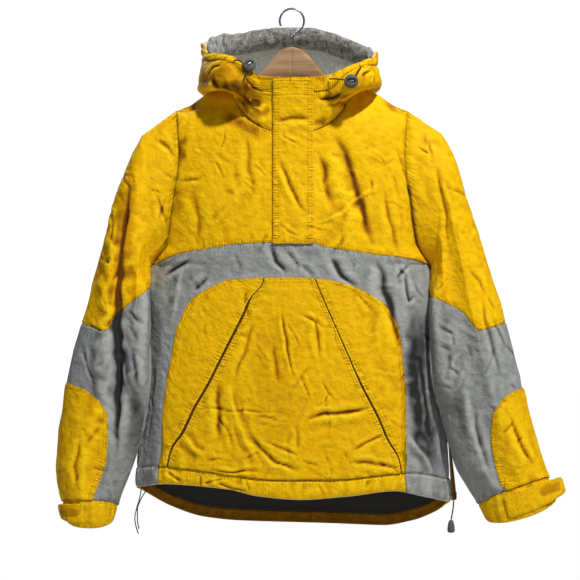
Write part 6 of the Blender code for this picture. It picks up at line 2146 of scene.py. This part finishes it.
class AnorakSettings(bpy.types.PropertyGroup):
    """The sizes, colours and lights that a user may want to change."""

    fold_depth: bpy.props.FloatProperty(
        name="Fold depth", description="How strongly the cloth's folds stand out", default=1.0, min=0.0,
        max=2.0, subtype="FACTOR")
    stitch_pitch: bpy.props.FloatProperty(
        name="Stitch pitch", description="Distance from one stitch to the next", default=0.0034, min=0.002,
        max=0.01, subtype="DISTANCE", unit="LENGTH")
    stitch_width: bpy.props.FloatProperty(
        name="Stitch width", description="How thick the thread lies", default=0.00085, min=0.0003,
        max=0.003, subtype="DISTANCE", unit="LENGTH")
    key_power: bpy.props.FloatProperty(
        name="Key light", description="Power of the light from the upper right", default=213.0, min=0.0,
        subtype="POWER", unit="POWER")
    fill_strength: bpy.props.FloatProperty(
        name="Surround", description="How much light the white surround gives", default=0.06, min=0.0,
        max=2.0)
    yellow_shell: colour_property("Yellow shell", "Yokes, pocket, hood, cuffs and tail", (0.89, 0.51, 0.003))
    grey_shell: colour_property("Grey shell", "Bands, side panels and lower sleeves", (0.30, 0.32, 0.32))
    fleece: colour_property("Fleece", "The hood's lining and its rolled edge", (0.80, 0.81, 0.80))
    dark_lining: colour_property("Lining", "The body's lining", (0.045, 0.044, 0.042))
    dark_cord: colour_property("Cord", "Drawcords and the pull cord", (0.035, 0.037, 0.036))
    zip_tape: colour_property("Zip tape", "The tapes of both zips", (0.32, 0.15, 0.04))
    plastic: colour_property("Plastic", "Cord locks, bell and slider", (0.105, 0.115, 0.10))
    zip_metal: colour_property("Zip teeth", "The side zip's teeth", (0.10, 0.09, 0.08))
    # The thread's dark orange is partly painted shade for its stitch holes and puckers; the real thread is
    # the cloth's yellow
    thread: colour_property("Thread", "The topstitching", (0.62, 0.30, 0.01))
    wood: colour_property("Wood", "The hanger's arms", (0.42, 0.25, 0.13))
    steel: colour_property("Wire", "The hanger's hook and the locks' bars", (0.42, 0.42, 0.43))


class Step:
    """What all the operators share: each can be done again and undone."""

    bl_options = {"REGISTER", "UNDO"}


class ANORAK_OT_camera(Step, bpy.types.Operator):
    """Stand the camera straight in front of the garment"""

    bl_idname = "anorak.camera"
    bl_label = "Camera"

    def execute(self, context):
        make_camera()
        return {"FINISHED"}


class ANORAK_OT_cords(Step, bpy.types.Operator):
    """Make the hem's drawcords and the zip's pull cord with its bell"""

    bl_idname = "anorak.cords"
    bl_label = "Cords"

    def execute(self, context):
        make_cords()
        return {"FINISHED"}


class ANORAK_OT_front_yokes(Step, bpy.types.Operator):
    """Make both halves of the front yoke and the zip strip"""

    bl_idname = "anorak.front_yokes"
    bl_label = "Front yokes"

    def execute(self, context):
        make_front_yokes()
        return {"FINISHED"}


class ANORAK_OT_band(Step, bpy.types.Operator):
    """Make the grey front panel"""

    bl_idname = "anorak.band"
    bl_label = "Front band"

    def execute(self, context):
        make_band()
        return {"FINISHED"}


class ANORAK_OT_pocket(Step, bpy.types.Operator):
    """Make the arched pocket's three pieces"""

    bl_idname = "anorak.pocket"
    bl_label = "Pocket"

    def execute(self, context):
        make_pocket()
        return {"FINISHED"}


class ANORAK_OT_casing(Step, bpy.types.Operator):
    """Make the front hem's three pieces"""

    bl_idname = "anorak.casing"
    bl_label = "Hem casing"

    def execute(self, context):
        make_casing()
        return {"FINISHED"}


class ANORAK_OT_flap(Step, bpy.types.Operator):
    """Make the flap over the zip"""

    bl_idname = "anorak.flap"
    bl_label = "Storm flap"

    def execute(self, context):
        make_flap()
        return {"FINISHED"}


class ANORAK_OT_back(Step, bpy.types.Operator):
    """Make the back's yoke, band and lower panel"""

    bl_idname = "anorak.back"
    bl_label = "Back"

    def execute(self, context):
        make_back()
        return {"FINISHED"}


class ANORAK_OT_lining(Step, bpy.types.Operator):
    """Make the lining and facing inside the tail"""

    bl_idname = "anorak.lining"
    bl_label = "Lining"

    def execute(self, context):
        make_lining()
        return {"FINISHED"}


class ANORAK_OT_hood(Step, bpy.types.Operator):
    """Make the hood's shell, fleece lining and rolled edge"""

    bl_idname = "anorak.hood"
    bl_label = "Hood"

    def execute(self, context):
        make_hood()
        return {"FINISHED"}


class ANORAK_OT_locks(Step, bpy.types.Operator):
    """Make the hood's cord locks with their loops and tails"""

    bl_idname = "anorak.locks"
    bl_label = "Cord locks"

    def execute(self, context):
        make_locks()
        return {"FINISHED"}


class ANORAK_OT_sleeves(Step, bpy.types.Operator):
    """Make the upper and lower sleeves"""

    bl_idname = "anorak.sleeves"
    bl_label = "Sleeves"

    def execute(self, context):
        make_sleeves()
        return {"FINISHED"}


class ANORAK_OT_patches(Step, bpy.types.Operator):
    """Make the yellow patches on the forearms"""

    bl_idname = "anorak.patches"
    bl_label = "Forearm patches"

    def execute(self, context):
        make_patches()
        return {"FINISHED"}


class ANORAK_OT_cuffs(Step, bpy.types.Operator):
    """Make the cuffs and their tabs"""

    bl_idname = "anorak.cuffs"
    bl_label = "Cuffs"

    def execute(self, context):
        make_cuffs()
        return {"FINISHED"}


class ANORAK_OT_side_zip(Step, bpy.types.Operator):
    """Make the zip at the left side of the hem"""

    bl_idname = "anorak.side_zip"
    bl_label = "Side zip"

    def execute(self, context):
        make_side_zip()
        return {"FINISHED"}


class ANORAK_OT_hanger(Step, bpy.types.Operator):
    """Make the wooden arms and the wire hook"""

    bl_idname = "anorak.hanger"
    bl_label = "Hanger"

    def execute(self, context):
        make_hanger()
        return {"FINISHED"}


class ANORAK_OT_sewing(Step, bpy.types.Operator):
    """Lay all the rows of topstitching"""

    bl_idname = "anorak.sewing"
    bl_label = "Sewing"

    def execute(self, context):
        make_sewing()
        return {"FINISHED"}


class ANORAK_OT_stage(Step, bpy.types.Operator):
    """Set the floor, the surround and the lights"""

    bl_idname = "anorak.stage"
    bl_label = "Stage"

    def execute(self, context):
        make_stage()
        return {"FINISHED"}


# In the order they are made
OPERATORS = (
    ANORAK_OT_camera, ANORAK_OT_cords, ANORAK_OT_front_yokes, ANORAK_OT_band, ANORAK_OT_pocket,
    ANORAK_OT_casing, ANORAK_OT_flap, ANORAK_OT_back, ANORAK_OT_lining, ANORAK_OT_hood, ANORAK_OT_locks,
    ANORAK_OT_sleeves, ANORAK_OT_patches, ANORAK_OT_cuffs, ANORAK_OT_side_zip, ANORAK_OT_hanger,
    ANORAK_OT_sewing, ANORAK_OT_stage,
)


class ANORAK_PT_panel(bpy.types.Panel):
    """Lists the steps in the order they are made."""

    bl_idname = "ANORAK_PT_panel"
    bl_label = "Anorak pullover"
    bl_space_type = "VIEW_3D"
    bl_region_type = "UI"
    bl_category = "Anorak"

    def draw(self, context):
        settings = context.scene.anorak
        for name in AnorakSettings.__annotations__:
            self.layout.prop(settings, name)
        for step in OPERATORS:
            self.layout.operator(step.bl_idname)


def register():
    """Make the settings, the operators and the panel known to Blender."""
    for kind in (AnorakSettings, *OPERATORS, ANORAK_PT_panel):
        bpy.utils.register_class(kind)
    bpy.types.Scene.anorak = bpy.props.PointerProperty(type=AnorakSettings)


def unregister():
    """Take them out again."""
    del bpy.types.Scene.anorak
    for kind in (ANORAK_PT_panel, *OPERATORS[::-1], AnorakSettings):
        bpy.utils.unregister_class(kind)


def main():
    """Make the whole scene, one operator after another."""
    register()
    for step in OPERATORS:
        getattr(bpy.ops.anorak, step.bl_idname.partition(".")[2])()


if __name__ == "__main__":
    main()
